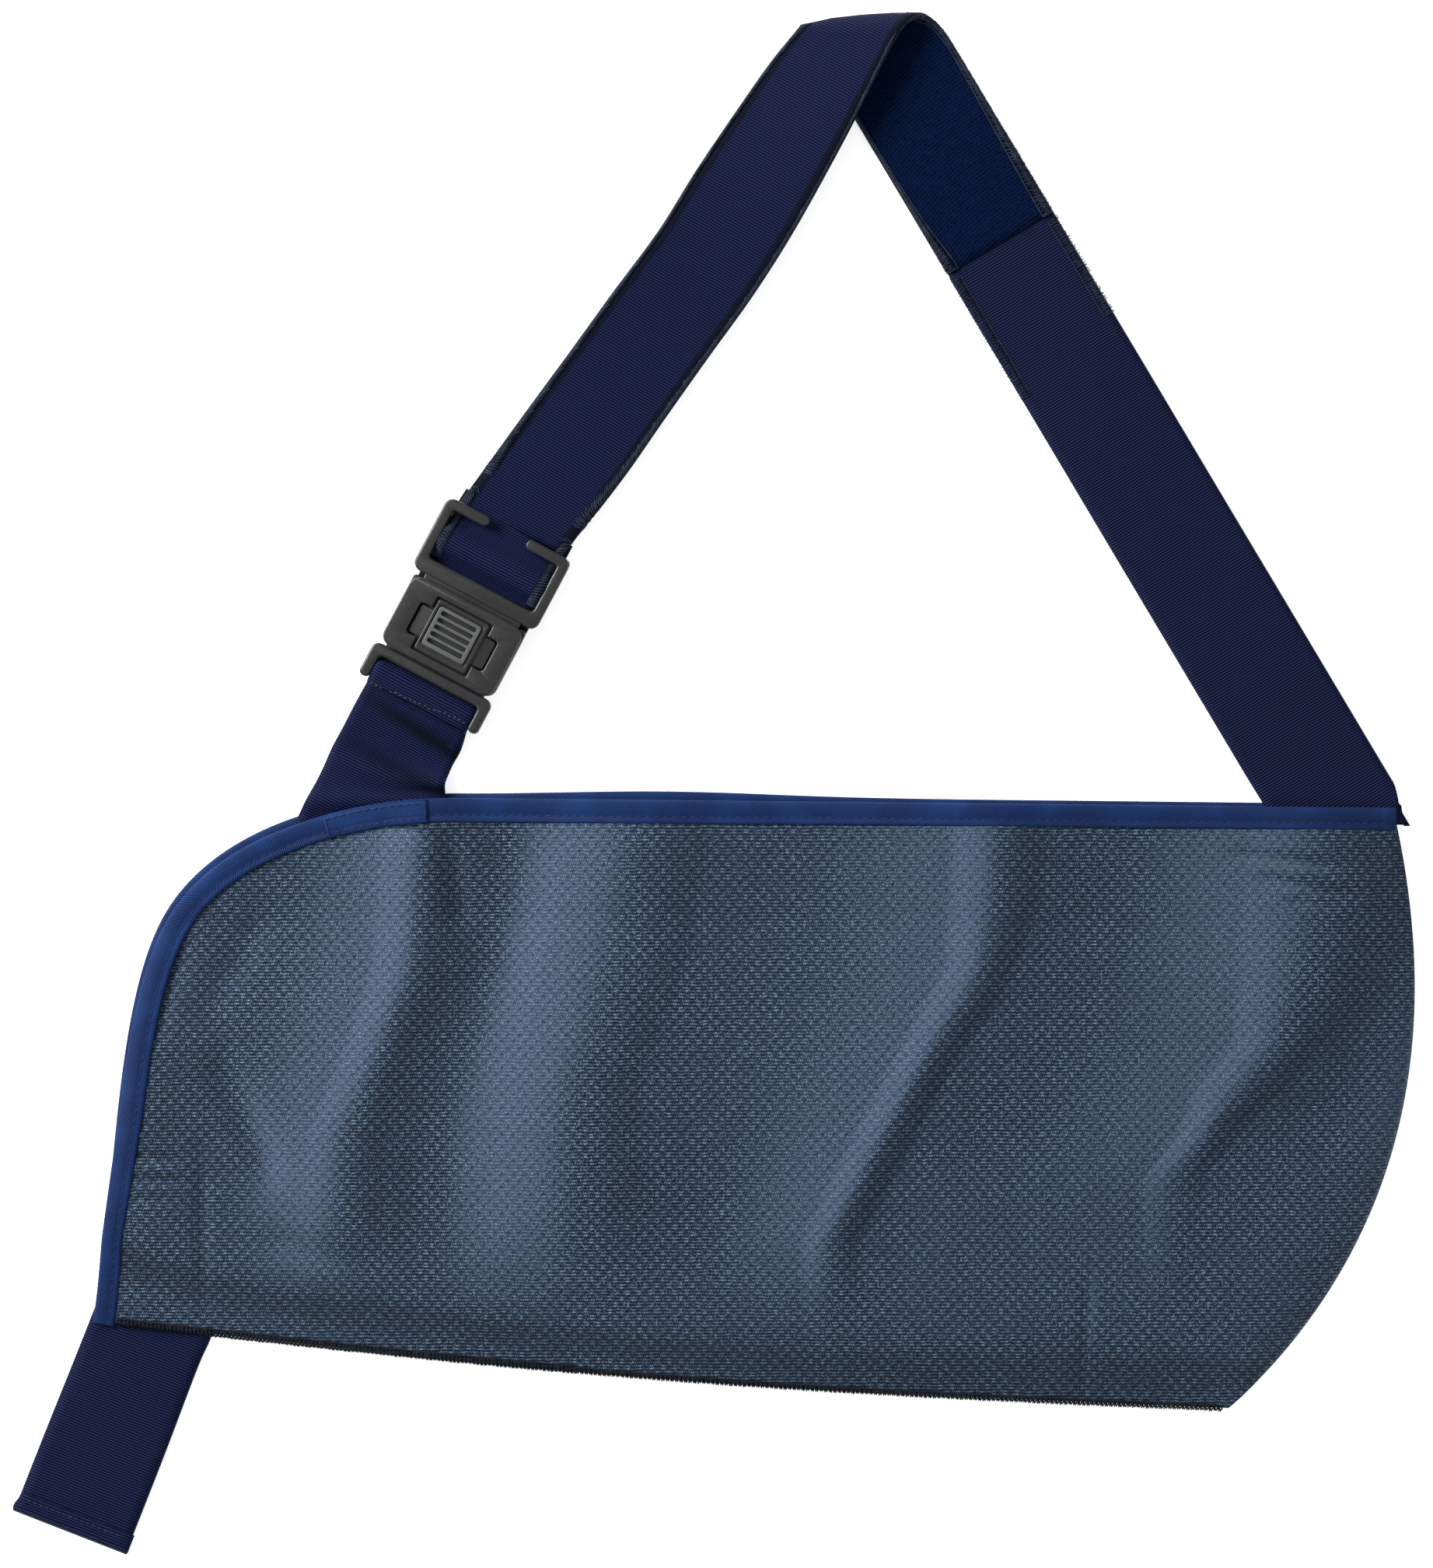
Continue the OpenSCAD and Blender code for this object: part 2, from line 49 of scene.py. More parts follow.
MM = 0.001
CLOTH_T = 0.8
TAPE_T = 0.45
WEB_T = 1.3
STRAP_T = 1.35
EDGE_ROUND = 0.35
THREAD_SIDES = 5
CLOTH_MIN_Z = 1.5
THREAD_MIN_Z = 0.22
FOLD_HEIGHT = 1.9
FOLD_GAP = 19


# ---- plane geometry, in mm
def clamp01(x):
    return min(1.0, max(0.0, x))


def smooth(x):
    x = clamp01(x)
    return x * x * (3 - 2 * x)


def mix(a, b, t):
    return a * (1 - t) + b * t


def vec(*xyz):
    return Vector(xyz if len(xyz) == 3 else (*xyz, 0.0))


def up(z):
    return Vector((0, 0, z))


def bezier(p, t):
    s = 1 - t
    return p[0] * s**3 + p[1] * 3 * t * s * s + p[2] * 3 * t * t * s + p[3] * t**3


def spline(points, t):
    """Smooth curve through points, with t from 0 to 1."""
    x = t * (len(points) - 1)
    i = min(int(x), len(points) - 2)
    f = x - i
    b = points[i]
    c = points[i + 1]
    a = points[i - 1] if i > 0 else b * 2 - c
    d = points[i + 2] if i + 2 < len(points) else c * 2 - b
    return 0.5 * (
        b * 2 + (c - a) * f + (a * 2 - b * 5 + c * 4 - d) * f * f + (b * 3 - a - c * 3 + d) * f**3
    )


def piecewise(stops, x):
    """Value at x of the line through (x, value) stops."""
    if x <= stops[0][0]:
        return stops[0][1]
    for (x0, v0), (x1, v1) in zip(stops, stops[1:]):
        if x <= x1:
            return mix(v0, v1, (x - x0) / (x1 - x0))
    return stops[-1][1]


def direction(points, k, reach=1):
    """Unit direction of a line of points at its point k."""
    return (points[min(len(points) - 1, k + reach)] - points[max(0, k - reach)]).normalized()


def resample(points, step):
    """Points a fixed step apart along a line of points."""
    out = [points[0].copy()]
    carried = 0.0
    for a, b in zip(points, points[1:]):
        length = (b - a).length
        while carried + length >= step and length > 0:
            a = a + (b - a) * ((step - carried) / length)
            out.append(a.copy())
            length = (b - a).length
            carried = 0.0
        carried += length
    return out


# ---- the pouch's outline and heights
HAND_END = [vec(-206.9, -178), vec(-199, -140.3), vec(-200.3, -75), vec(-183.7, -44.5)]
HAND_SHOULDER = [vec(-183.7, -44.5), vec(-166.9, -13.3), vec(-122.7, -3), vec(-90, -3.2)]
ELBOW_END = [vec(169.5, -207.3), vec(228.4, -152), vec(240.6, -83.3), vec(224.7, -6.6)]
SHOULDER_SHARE = 0.25
BOTTOM_BOW = 4.4
BINDING_W = 8.0


def top_side(u):
    if u < SHOULDER_SHARE:
        return bezier(HAND_SHOULDER, u / SHOULDER_SHARE)
    return mix(HAND_SHOULDER[3], ELBOW_END[3], (u - SHOULDER_SHARE) / (1 - SHOULDER_SHARE))


def bottom_side(u):
    return mix(HAND_END[0], ELBOW_END[0], u) - vec(0, BOTTOM_BOW * math.sin(math.pi * clamp01(u)))


def bottom_y(x):
    return bottom_side((x - HAND_END[0].x) / (ELBOW_END[0].x - HAND_END[0].x)).y


def elbow_x(y):
    """Right-hand limit of the pouch at a height in the picture plane."""
    t = clamp01((y - ELBOW_END[0].y) / (ELBOW_END[3].y - ELBOW_END[0].y))
    for _ in range(6):
        p = bezier(ELBOW_END, t)
        t = clamp01(t + (y - p.y) / 201)
    return bezier(ELBOW_END, t).x


# Lines on the cloth that face the light and that face away from it, in turn, as (y, x) stops
FOLD_LINES = [
    [(-170, -215), (-20, -215)],
    [(-170, -172), (-110, -178), (-60, -172), (-20, -150)],
    [(-150, -138), (-115, -134), (-85, -121), (-60, -113), (-20, -110)],
    [(-150, -110), (-115, -110), (-85, -99), (-60, -88), (-20, -84)],
    [(-170, -70), (-110, -68), (-60, -58), (-20, -48)],
    [(-190, -24), (-100, -25), (-85, -20), (-55, -8), (-20, -4)],
    [(-150, 28), (-115, 46), (-85, 62), (-60, 76), (-20, 78)],
    [(-150, 44), (-135, 47), (-104, 69), (-85, 82), (-68, 95), (-40, 106), (-20, 108)],
    [(-130, 140), (-115, 152), (-100, 158), (-85, 170), (-20, 175)],
    [
        (-165, 154), (-125, 162), (-113, 170), (-100, 187),
        (-85, 200), (-70, 211), (-50, 219), (-20, 222),
    ],
    [(-165, 240), (-20, 250)],
]


def folds(x, y):
    """Long soft folds that run down the cloth."""
    stops = []
    for i, line in enumerate(FOLD_LINES):
        at = piecewise(line, y)
        if stops:
            at = max(at, stops[-1][0] + FOLD_GAP)
        stops.append((at, math.pi * i))
    low = smooth((y + 185) / 60)
    top = 1 - 0.35 * smooth((y + 22) / 15)
    fade = 1 - 0.75 * smooth((x - 40) / 40) * smooth((-y - 105) / 35)
    fade *= 1 - 0.3 * smooth((-95 - x) / 30)
    return FOLD_HEIGHT * math.sin(piecewise(stops, x)) * low * top * fade


def crease(x, y, a, b, half_width, depth):
    """A straight groove from a to b that fades at its ends."""
    length = math.hypot(b[0] - a[0], b[1] - a[1])
    tx = (b[0] - a[0]) / length
    ty = (b[1] - a[1]) / length
    t = ((x - a[0]) * tx + (y - a[1]) * ty) / length
    if t < -0.2 or t > 1.2:
        return 0.0
    d = ((x - a[0]) * ty - (y - a[1]) * tx) / half_width
    if abs(d) > 3:
        return 0.0
    return -depth * math.exp(-d * d) * smooth((t + 0.2) / 0.4) * smooth((1.2 - t) / 0.4)


CREASES = [
    ((-164, -90), (-146, -130), 6.0, 1.3),
    ((-176, -52), (-186, -84), 4.5, 0.8),
    ((-150, -150), (-112, -158), 5.0, 0.6),
    ((-150, -44), (-168, -76), 6.0, 0.6),
    ((-169, -123), (-169, -172), 2.2, 0.5),
    ((122, -163), (121, -203), 1.6, 0.45),
    ((-195, -121), (-178, -124), 1.5, 0.7),
    ((-196, -129), (-176, -131), 1.4, 0.6),
    ((-192, -136), (-181, -137), 1.4, 0.4),
    ((172, -23), (205, -27), 1.8, 0.7),
    ((180, -31), (211, -37), 1.8, 0.8),
    ((190, -38), (205, -40), 1.6, 0.5),
    ((-107, -12), (-88, -20), 2.4, 1.0),
    ((-88, -18), (-84, -46), 4.5, 1.3),
]
# Stripe above the bottom seam, a shallow dip in the cloth that is also painted darker as shade, as (x,
# distance above it, half width) stops
HEM_DIP_AND_SHADE_STOPS = [
    (-200, 24, 6.0), (-170, 15, 5.0), (-100, 12, 5.5), (0, 9, 5.0),
    (60, 8, 7.0), (120, 10, 9.0), (170, 12, 5.0),
]


def creased(x, y):
    return sum(crease(x, y, a, b, half_width, depth) for a, b, half_width, depth in CREASES)


def hem_dip_and_painted_shade(x, y):
    middle = piecewise([(at, d) for at, d, w in HEM_DIP_AND_SHADE_STOPS], x)
    half_width = piecewise([(at, w) for at, d, w in HEM_DIP_AND_SHADE_STOPS], x)
    return math.exp(-(((y - bottom_y(x) - middle) / half_width) ** 2))


def panel_height(p):
    """Middle of the front cloth, above the table."""
    from_bottom = p.y - bottom_y(p.x)
    from_elbow = elbow_x(p.y) - p.x
    height = clamp01(from_bottom / (-44.5 - bottom_y(p.x)))
    swell = 5.2 * math.sin(math.pi * height) * (0.75 + 0.25 * math.cos(math.radians(p.x * 0.8)))
    edge = min(
        math.sin(math.pi / 2 * clamp01(from_bottom / 34)),
        math.sqrt(1 - (1 - clamp01(from_elbow / 30)) ** 2),
    )
    corner = 0.6 * clamp01((p.y + 58) / 20) * clamp01(from_elbow / 4)
    edge = max(edge, corner)
    z = 1.75 + (3.9 + swell) * edge
    z += folds(p.x, p.y) * min(edge, smooth(from_elbow / 26))
    return max(z, 1.6)


def creased_height(p):
    return max(panel_height(p) + creased(p.x, p.y) - 0.3 * hem_dip_and_painted_shade(p.x, p.y), CLOTH_MIN_Z)


# ---- mesh builders
def in_scene(name, data):
    obj = bpy.data.objects.new(name, data)
    bpy.context.scene.collection.objects.link(obj)
    return obj


def outward(bm, mesh):
    """Writes bm to the mesh with its faces turned outwards."""
    bmesh.ops.recalc_face_normals(bm, faces=bm.faces)
    if bm.calc_volume(signed=True) < 0:
        bmesh.ops.reverse_faces(bm, faces=bm.faces)
    bm.to_mesh(mesh)
    bm.free()
    return mesh


def finish_mesh(name, verts, faces, uvs, material):
    """A smooth-shaded mesh object from points in mm, with a UV map that is also in mm."""
    mesh = bpy.data.meshes.new(name)
    mesh.from_pydata([v * MM for v in verts], [], faces)
    layer = mesh.uv_layers.new(name="weave")
    for loop in mesh.loops:
        layer.data[loop.index].uv = uvs[loop.vertex_index]
    bm = bmesh.new()
    bm.from_mesh(mesh)
    outward(bm, mesh)
    for polygon in mesh.polygons:
        polygon.use_smooth = True
    mesh.materials.append(material)
    return in_scene(name, mesh)


def around(rows, count, first=0):
    """Faces of a tube of rows of count points, with both ends closed."""
    faces = []
    for i in range(rows - 1):
        for k in range(count):
            a = first + i * count + k
            b = first + i * count + (k + 1) % count
            faces.append((a, b, b + count, a + count))
    last = first + (rows - 1) * count
    faces.append(tuple(first + k for k in range(count)))
    faces.append(tuple(last + k for k in range(count - 1, -1, -1)))
    return faces


def grid_normals(grid):
    n = len(grid)
    m = len(grid[0])
    out = []
    for i in range(n):
        row = []
        for j in range(m):
            du = grid[min(n - 1, i + 1)][j] - grid[max(0, i - 1)][j]
            dv = grid[i][min(m - 1, j + 1)] - grid[i][max(0, j - 1)]
            row.append(dv.cross(du).normalized())
        out.append(row)
    return out


def shell(name, grid, t, material, uv):
    """A closed thin sheet of thickness t about a grid of points, with rounded edges."""
    n = len(grid)
    m = len(grid[0])
    normals = grid_normals(grid)
    verts = []
    uvs = []
    for sign in (1, -1):
        for i in range(n):
            for j in range(m):
                verts.append(grid[i][j] + normals[i][j] * (sign * t / 2))
                uvs.append(uv[i][j])
    size = n * m
    faces = []
    for i in range(n - 1):
        for j in range(m - 1):
            a = i * m + j
            faces.append((a, a + 1, a + m + 1, a + m))
            faces.append((size + a, size + a + m, size + a + m + 1, size + a + 1))
    rim = [(0, j, 1, j) for j in range(m)]
    rim += [(i, m - 1, i, m - 2) for i in range(1, n)]
    rim += [(n - 1, j, n - 2, j) for j in range(m - 2, -1, -1)]
    rim += [(i, 0, i, 1) for i in range(n - 2, 0, -1)]
    first = len(verts)
    for i, j, i_in, j_in in rim:
        out = (grid[i][j] - grid[i_in][j_in]).normalized()
        verts.append(grid[i][j] + out * (t * EDGE_ROUND))
        uvs.append(uv[i][j])
    count = len(rim)
    for k in range(count):
        i, j = rim[k][:2]
        i2, j2 = rim[(k + 1) % count][:2]
        a = i * m + j
        b = i2 * m + j2
        c = first + k
        d = first + (k + 1) % count
        faces.append((a, c, d, b))
        faces.append((c, size + a, size + b, d))
    return finish_mesh(name, verts, faces, uvs, material)


def tubes(name, paths, radius, material):
    """Round threads along lines of points."""
    verts = []
    uvs = []
    faces = []
    for path in paths:
        faces += around(len(path), THREAD_SIDES, len(verts))
        along = 0.0
        for i, p in enumerate(path):
            tangent = direction(path, i)
            over = up(1) if abs(tangent.z) < 0.9 else vec(1, 0)
            side = tangent.cross(over).normalized()
            over = side.cross(tangent)
            if i:
                along += (p - path[i - 1]).length
            for k in range(THREAD_SIDES):
                a = 2 * math.pi * k / THREAD_SIDES
                verts.append(p + side * (radius * math.cos(a)) + over * (radius * math.sin(a)))
                uvs.append((k * radius, along))
    return finish_mesh(name, verts, faces, uvs, material)


def swept(name, stations, section, scallop):
    """Binding tape: a closed section along stations of (point, inward direction, distance)."""
    verts = []
    uvs = []
    for k, (p, inward, s) in enumerate(stations):
        push = -scallop if k % 2 else 0.0
        scale = piecewise(WIDTH_STOPS, s) / BINDING_W
        for w, z in section:
            outer = 1 - clamp01(w / 1.5)
            verts.append(p + inward * (w * scale + push * outer) + up(z))
            uvs.append((w + (60 if z < 0 else 0), s))
    return finish_mesh(name, verts, around(len(stations), len(section)), uvs, TAPE)


# ---- materials
class Surface:
    """Builds one procedural material."""

    def __init__(self, name, **shader):
        self.material = bpy.data.materials.new(name)
        self.material.use_nodes = True
        self.tree = self.material.node_tree
        self.shader = self.tree.nodes["Principled BSDF"]
        for socket, value in shader.items():
            self.shader.inputs[socket.replace("_", " ")].default_value = value

    def add(self, kind, **props):
        node = self.tree.nodes.new("ShaderNode" + kind)
        for key, value in props.items():
            setattr(node, key, value)
        return node

    def feed(self, socket, value):
        if isinstance(value, (int, float, tuple)):
            socket.default_value = value
        else:
            self.tree.links.new(value, socket)

    def math(self, operation, a, b=0.0, c=0.0):
        node = self.add("Math", operation=operation)
        for socket, value in zip(node.inputs, (a, b, c)):
            self.feed(socket, value)
        return node.outputs[0]

    def times(self, a, b):
        return self.math("MULTIPLY", a, b)

    def scaled(self, a, b, c):
        """a times b, plus c."""
        return self.math("MULTIPLY_ADD", a, b, c)

    def uv(self):
        node = self.add("UVMap", uv_map="weave")
        split = self.add("SeparateXYZ")
        self.tree.links.new(node.outputs[0], split.inputs[0])
        return split.outputs[0], split.outputs[1]

    def wave(self, value, pitch, shift=0.0):
        """Cosine of a distance, from 0 to 1, once per pitch."""
        angle = self.scaled(value, 2 * math.pi / pitch, shift)
        return self.scaled(self.math("COSINE", angle), 0.5, 0.5)

    def noise(self, scale, detail=2.0, vector=None):
        node = self.add("TexNoise")
        node.inputs["Scale"].default_value = scale
        node.inputs["Detail"].default_value = detail
        if vector is None:
            vector = self.add("TexCoord").outputs["Object"]
        self.tree.links.new(vector, node.inputs["Vector"])
        return node.outputs["Fac"]

    def joined(self, x, y):
        node = self.add("CombineXYZ")
        self.feed(node.inputs[0], x)
        self.feed(node.inputs[1], y)
        return node.outputs[0]

    def spread(self, value, low, high, to_low=0.0, to_high=1.0):
        node = self.add("MapRange", interpolation_type="SMOOTHSTEP")
        for socket, v in zip(node.inputs, (value, low, high, to_low, to_high)):
            self.feed(socket, v)
        return node.outputs[0]

    def blend(self, factor, a, b):
        node = self.add("Mix", data_type="RGBA")
        self.feed(node.inputs[0], factor)
        for socket, value in ((node.inputs[6], a), (node.inputs[7], b)):
            self.feed(socket, (*value, 1.0) if isinstance(value, tuple) else value)
        return node.outputs[2]

    def finish(self, colour, height=None, distance=0.2, strength=1.0, roughness=None):
        self.feed(self.shader.inputs["Base Color"], colour)
        if roughness is not None:
            self.feed(self.shader.inputs["Roughness"], roughness)
        if height is not None:
            bump = self.add("Bump")
            bump.inputs["Strength"].default_value = strength
            bump.inputs["Distance"].default_value = distance * MM
            self.feed(bump.inputs["Height"], height)
            self.feed(self.shader.inputs["Normal"], bump.outputs[0])
        return self.material


# Pitches of the knit's courses, its stitches, and its lattice of floats and holes
COURSE = 1.08
STITCH = 0.75
LATTICE = (3.9, 4.32)


def mesh_cloth():
    s = Surface("mesh_cloth", Roughness=0.7, Specular_IOR_Level=0.2, Sheen_Weight=0.02)
    u, v = s.uv()
    place = s.joined(u, v)
    v = s.scaled(s.noise(0.09, 2.0, place), 1.2, v)
    # This attribute carries painted shade and highlight: slopes that face away from the key light darken
    # the knit, and slopes that face it lighten it.
    painted_fold_shade = s.add("Attribute", attribute_name="painted_fold_shade").outputs["Fac"]
    painted_lit_side = s.spread(painted_fold_shade, -0.35, 0.45)
    row = s.math("FLOOR", s.math("DIVIDE", v, COURSE))
    shift = s.times(s.math("MODULO", row, 2.0), math.pi)
    angle = s.scaled(u, 2 * math.pi / STITCH, shift)
    stitch = s.scaled(s.math("COSINE", angle), 0.5, 0.5)
    bars = s.wave(v, COURSE, math.pi)
    knit = s.times(s.scaled(stitch, 0.6, 0.4), bars)
    knit = s.math("MAXIMUM", knit, s.times(painted_lit_side, 0.28))
    columns = s.math("COSINE", s.times(u, 2 * math.pi / LATTICE[0]))
    rows = s.math("COSINE", s.times(v, 2 * math.pi / LATTICE[1]))
    lattice = s.times(columns, rows)
    ruffle = s.spread(s.noise(0.14, 3.0, place), 0.35, 0.65, 0.45, 1.0)
    strong = s.scaled(painted_lit_side, -0.65, 1.0)
    floats = s.times(s.spread(lattice, 0.25, 0.7), s.times(bars, ruffle))
    floats = s.times(floats, strong)
    pits = s.scaled(s.noise(0.7, 2.0, place), 0.9, s.times(lattice, -1.0))
    holes = s.times(s.spread(pits, 0.8, 1.3), s.scaled(painted_lit_side, 0.45, 0.5))
    colour = s.blend(s.spread(knit, 0.08, 0.80), (0.002, 0.005, 0.012), (0.074, 0.126, 0.222))
    colour = s.blend(floats, colour, (0.27, 0.43, 0.62))
    colour = s.blend(holes, colour, (0.003, 0.007, 0.014))
    grain = s.noise(1.5, 3.0, place)
    colour = s.blend(s.spread(grain, 0.30, 0.51, 0.80, 0.0), colour, (0.004, 0.009, 0.019))
    colour = s.blend(s.spread(grain, 0.53, 0.71, 0.0, 0.70), colour, (0.21, 0.34, 0.54))
    colour = s.blend(s.spread(s.noise(18.0), 0.3, 0.7, 0.0, 0.20), colour, (0.030, 0.052, 0.088))
    # Painted shade on slopes that face away from the light, then a painted highlight on slopes that face
    # it.
    colour = s.blend(s.spread(painted_fold_shade, -1.0, 0.3, 0.42, 0.0), colour, (0.006, 0.011, 0.022))
    colour = s.blend(s.spread(painted_fold_shade, -0.2, 1.0, 0.0, 0.20), colour, (0.165, 0.25, 0.39))
    height = s.math("ADD", s.scaled(floats, 0.5, knit), s.times(holes, -0.8))
    height = s.scaled(grain, 0.5, height)
    return s.finish(colour, height, 0.24, 0.9)


def twill_tape():
    s = Surface("binding_tape", Roughness=0.6, Specular_IOR_Level=0.12)
    w, along = s.uv()
    lower = s.spread(w, 5.3, 5.6)
    leaning = s.math("SUBTRACT", s.times(lower, 2.0), 1.0)
    diagonal = s.scaled(s.times(w, leaning), 0.9, along)
    ribs = s.wave(diagonal, 0.85)
    yarn = s.noise(1.6, 2.0, s.joined(w, along))
    wear = s.noise(0.06, 2.0, s.joined(w, along))
    colour = s.blend(s.spread(ribs, 0.1, 0.9), (0.0004, 0.0018, 0.012), (0.0168, 0.056, 0.215))
    colour = s.blend(s.spread(yarn, 0.35, 0.8, 0.0, 0.4), colour, (0.004, 0.016, 0.085))
    colour = s.blend(s.spread(wear, 0.4, 0.7, 0.0, 0.25), colour, (0.018, 0.066, 0.260))
    height = s.scaled(yarn, 0.25, ribs)
    return s.finish(colour, height, 0.14, 0.7)


RIB = 0.88


def webbing(name="webbing", edge_dark=None, painted_valley_shade=()):
    s = Surface(name, Roughness=0.6, Specular_IOR_Level=0.1)
    u, v = s.uv()
    wobble = s.noise(0.12, 2.0, s.joined(u, v))
    along = s.scaled(wobble, 0.5, v)
    ribs = s.wave(along, RIB)
    yarn = s.wave(s.scaled(v, 0.6, u), 0.7)
    fuzz = s.noise(1.5, 3.0, s.joined(u, v))
    colour = s.blend(s.spread(ribs, 0.15, 0.95), (0.0002, 0.0005, 0.004), (0.0165, 0.0255, 0.108))
    colour = s.blend(s.times(yarn, 0.25), colour, (0.003, 0.006, 0.032))
    colour = s.blend(s.spread(fuzz, 0.5, 0.8, 0.0, 0.35), colour, (0.015, 0.024, 0.100))
    # Painted shade: dark bands across the strap where its folds face away from the light.
    for at, lean, half_width, depth in painted_valley_shade:
        off = s.math("ABSOLUTE", s.math("SUBTRACT", s.scaled(u, lean, v), at))
        fade = s.spread(u, -22.0, 4.0, 0.35, 1.0)
        shade = s.times(s.spread(off, 0.0, half_width, depth, 0.0), fade)
        colour = s.blend(shade, colour, (0.0008, 0.0012, 0.005))
    if edge_dark is not None:
        rim = s.spread(s.math("ABSOLUTE", u), edge_dark - 0.4, edge_dark + 0.2, 0.0, 0.85)
        colour = s.blend(rim, colour, (0.0025, 0.004, 0.011))
    height = s.math("ADD", s.times(yarn, 0.12), s.scaled(fuzz, 0.25, ribs))
    return s.finish(colour, height, 0.24, 0.9)


def brushed_pile(name, low, high):
    s = Surface(name, Roughness=0.95, Specular_IOR_Level=0.05)
    u, v = s.uv()
    place = s.joined(u, v)
    fibres = s.noise(1.1, 4.0, place)
    clumps = s.noise(0.25, 2.0, place)
    rows = s.wave(v, 1.15)
    tufts = s.scaled(rows, 0.35, fibres)
    colour = s.blend(s.spread(tufts, 0.35, 1.0), low, high)
    colour = s.blend(s.spread(clumps, 0.4, 0.75, 0.0, 0.35), colour, high)
    return s.finish(colour, tufts, 0.30, 0.7)


def thread(name, low, high):
    s = Surface(name, Roughness=0.65, Specular_IOR_Level=0.2)
    u, v = s.uv()
    ply = s.wave(s.scaled(u, 1.6, v), 0.7)
    tone = s.noise(300.0, 1.0)
    colour = s.blend(s.times(ply, tone), low, high)
    return s.finish(colour, ply, 0.08, 0.6)


def moulded_plastic():
    s = Surface("buckle_plastic", Roughness=0.4, Specular_IOR_Level=0.6)
    grain = s.noise(2600.0, 2.0)
    cloud = s.noise(90.0, 3.0)
    # Edges found by pointiness are painted lighter: partly wear, and partly a painted highlight along the
    # rims.
    wear = s.spread(s.add("NewGeometry").outputs["Pointiness"], 0.53, 0.62)
    worn_and_highlit_edges = s.times(wear, s.spread(s.noise(1800.0, 2.0), 0.3, 0.6))
    colour = s.blend(s.spread(cloud, 0.35, 0.7), (0.0165, 0.0165, 0.0185), (0.023, 0.023, 0.026))
    colour = s.blend(s.times(worn_and_highlit_edges, 0.8), colour, (0.16, 0.16, 0.165))
    # Painted highlight: the tops of the button's ribs are painted lighter.
    place = s.add("SeparateXYZ")
    s.feed(place.inputs[0], s.add("TexCoord").outputs["Object"])
    painted_rib_highlight = s.spread(place.outputs[2], 10.72 * MM, 10.95 * MM, 0.0, 0.8)
    colour = s.blend(painted_rib_highlight, colour, (0.115, 0.125, 0.125))
    rough = s.spread(grain, 0.3, 0.7, 0.34, 0.48)
    return s.finish(colour, grain, 0.02, 0.5, rough)


def spring_steel():
    s = Surface("spring_steel", Metallic=1.0, Roughness=0.3)
    place = s.add("TexCoord").outputs["Object"]
    stretch = s.add("Mapping")
    stretch.inputs["Scale"].default_value = (3000, 200, 200)
    s.tree.links.new(place, stretch.inputs[0])
    brushed = s.noise(1.0, 3.0, stretch.outputs[0])
    colour = s.blend(brushed, (0.42, 0.42, 0.43), (0.62, 0.62, 0.64))
    return s.finish(colour, brushed, 0.02, 0.4, s.spread(brushed, 0.3, 0.7, 0.24, 0.4))


CLOTH = mesh_cloth()
TAPE = twill_tape()
WEB = webbing()
LINED_WEB = webbing("lined_webbing", 16.6)
# The hand strap gets two bands of painted shade across it, given as (place along, lean, half width,
# darkness).
HAND_WEB = webbing("hand_webbing", None, ((-6.4, 0.11, 4.5, 0.85), (-22.5, 0.05, 5.0, 0.5)))
PILE = brushed_pile("brushed_pile", (0.0003, 0.0022, 0.013), (0.0024, 0.0115, 0.052))
HOOKS = brushed_pile("hook_tape", (0.002, 0.003, 0.010), (0.012, 0.018, 0.055))
OVERLOCK = thread("overlock_thread", (0.003, 0.005, 0.012), (0.095, 0.130, 0.230))
DARK_THREAD = thread("dark_thread", (0.002, 0.003, 0.006), (0.032, 0.042, 0.066))
BLUE_THREAD = thread("blue_thread", (0.010, 0.022, 0.080), (0.050, 0.095, 0.26))
PLASTIC = moulded_plastic()
STEEL = spring_steel()


def put(obj, body, slot, *nodes):
    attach(obj, body)
    if nodes:
        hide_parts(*nodes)
    return obj


def put_between(obj, bodies, slot, start, end, *nodes):
    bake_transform(obj)
    if nodes:
        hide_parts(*nodes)
    return obj


# ---- the open edge
# Along the open edge from the bottom: how far the front tape lies inside the back one, and its width
PEEP_STOPS = [(0, 0.3), (29, 0.5), (69, 2.5), (104, 2.6), (190, 2.6), (225, 1.7), (245, 1.35), (700, 1.2)]
WIDTH_STOPS = [(0, 7.3), (29, 6.8), (69, 7.8), (250, 8.0), (400, 7.5), (700, 7.5)]


def front_inset(s, p):
    return piecewise(PEEP_STOPS, s)


def back_inset(s, p):
    """The back edge shows a little more in the middle of the top."""
    return 0.1 - 1.6 * math.exp(-(((p.x + 16) / 48) ** 2)) * smooth((p.y + 40) / 30)


def edge_stations(inset, step, height, start=0.0, stop=None):
    """Stations up the hand end and along the top, inset from the pouch outline."""
    outline = [bezier(HAND_END, k / 60) for k in range(61)]
    outline += [top_side(k / 160) for k in range(1, 161)]
    points = resample(outline, step)
    out = []
    for k, p in enumerate(points):
        s = k * step
        if s < start or (stop is not None and s > stop):
            continue
        tangent = direction(points, k, 2)
        inward = vec(tangent.y, -tangent.x)
        p = p + inward * inset(s, p)
        middle = p + inward * 4
        out.append((Vector((p.x, p.y, height(middle))), inward, s))
    return out


# ---- pouch cloth
def along_line(points, t):
    """Point at a share of the way along evenly spaced points."""
    x = clamp01(t) * (len(points) - 1)
    k = min(int(x), len(points) - 2)
    return mix(points[k], points[k + 1], x - k)


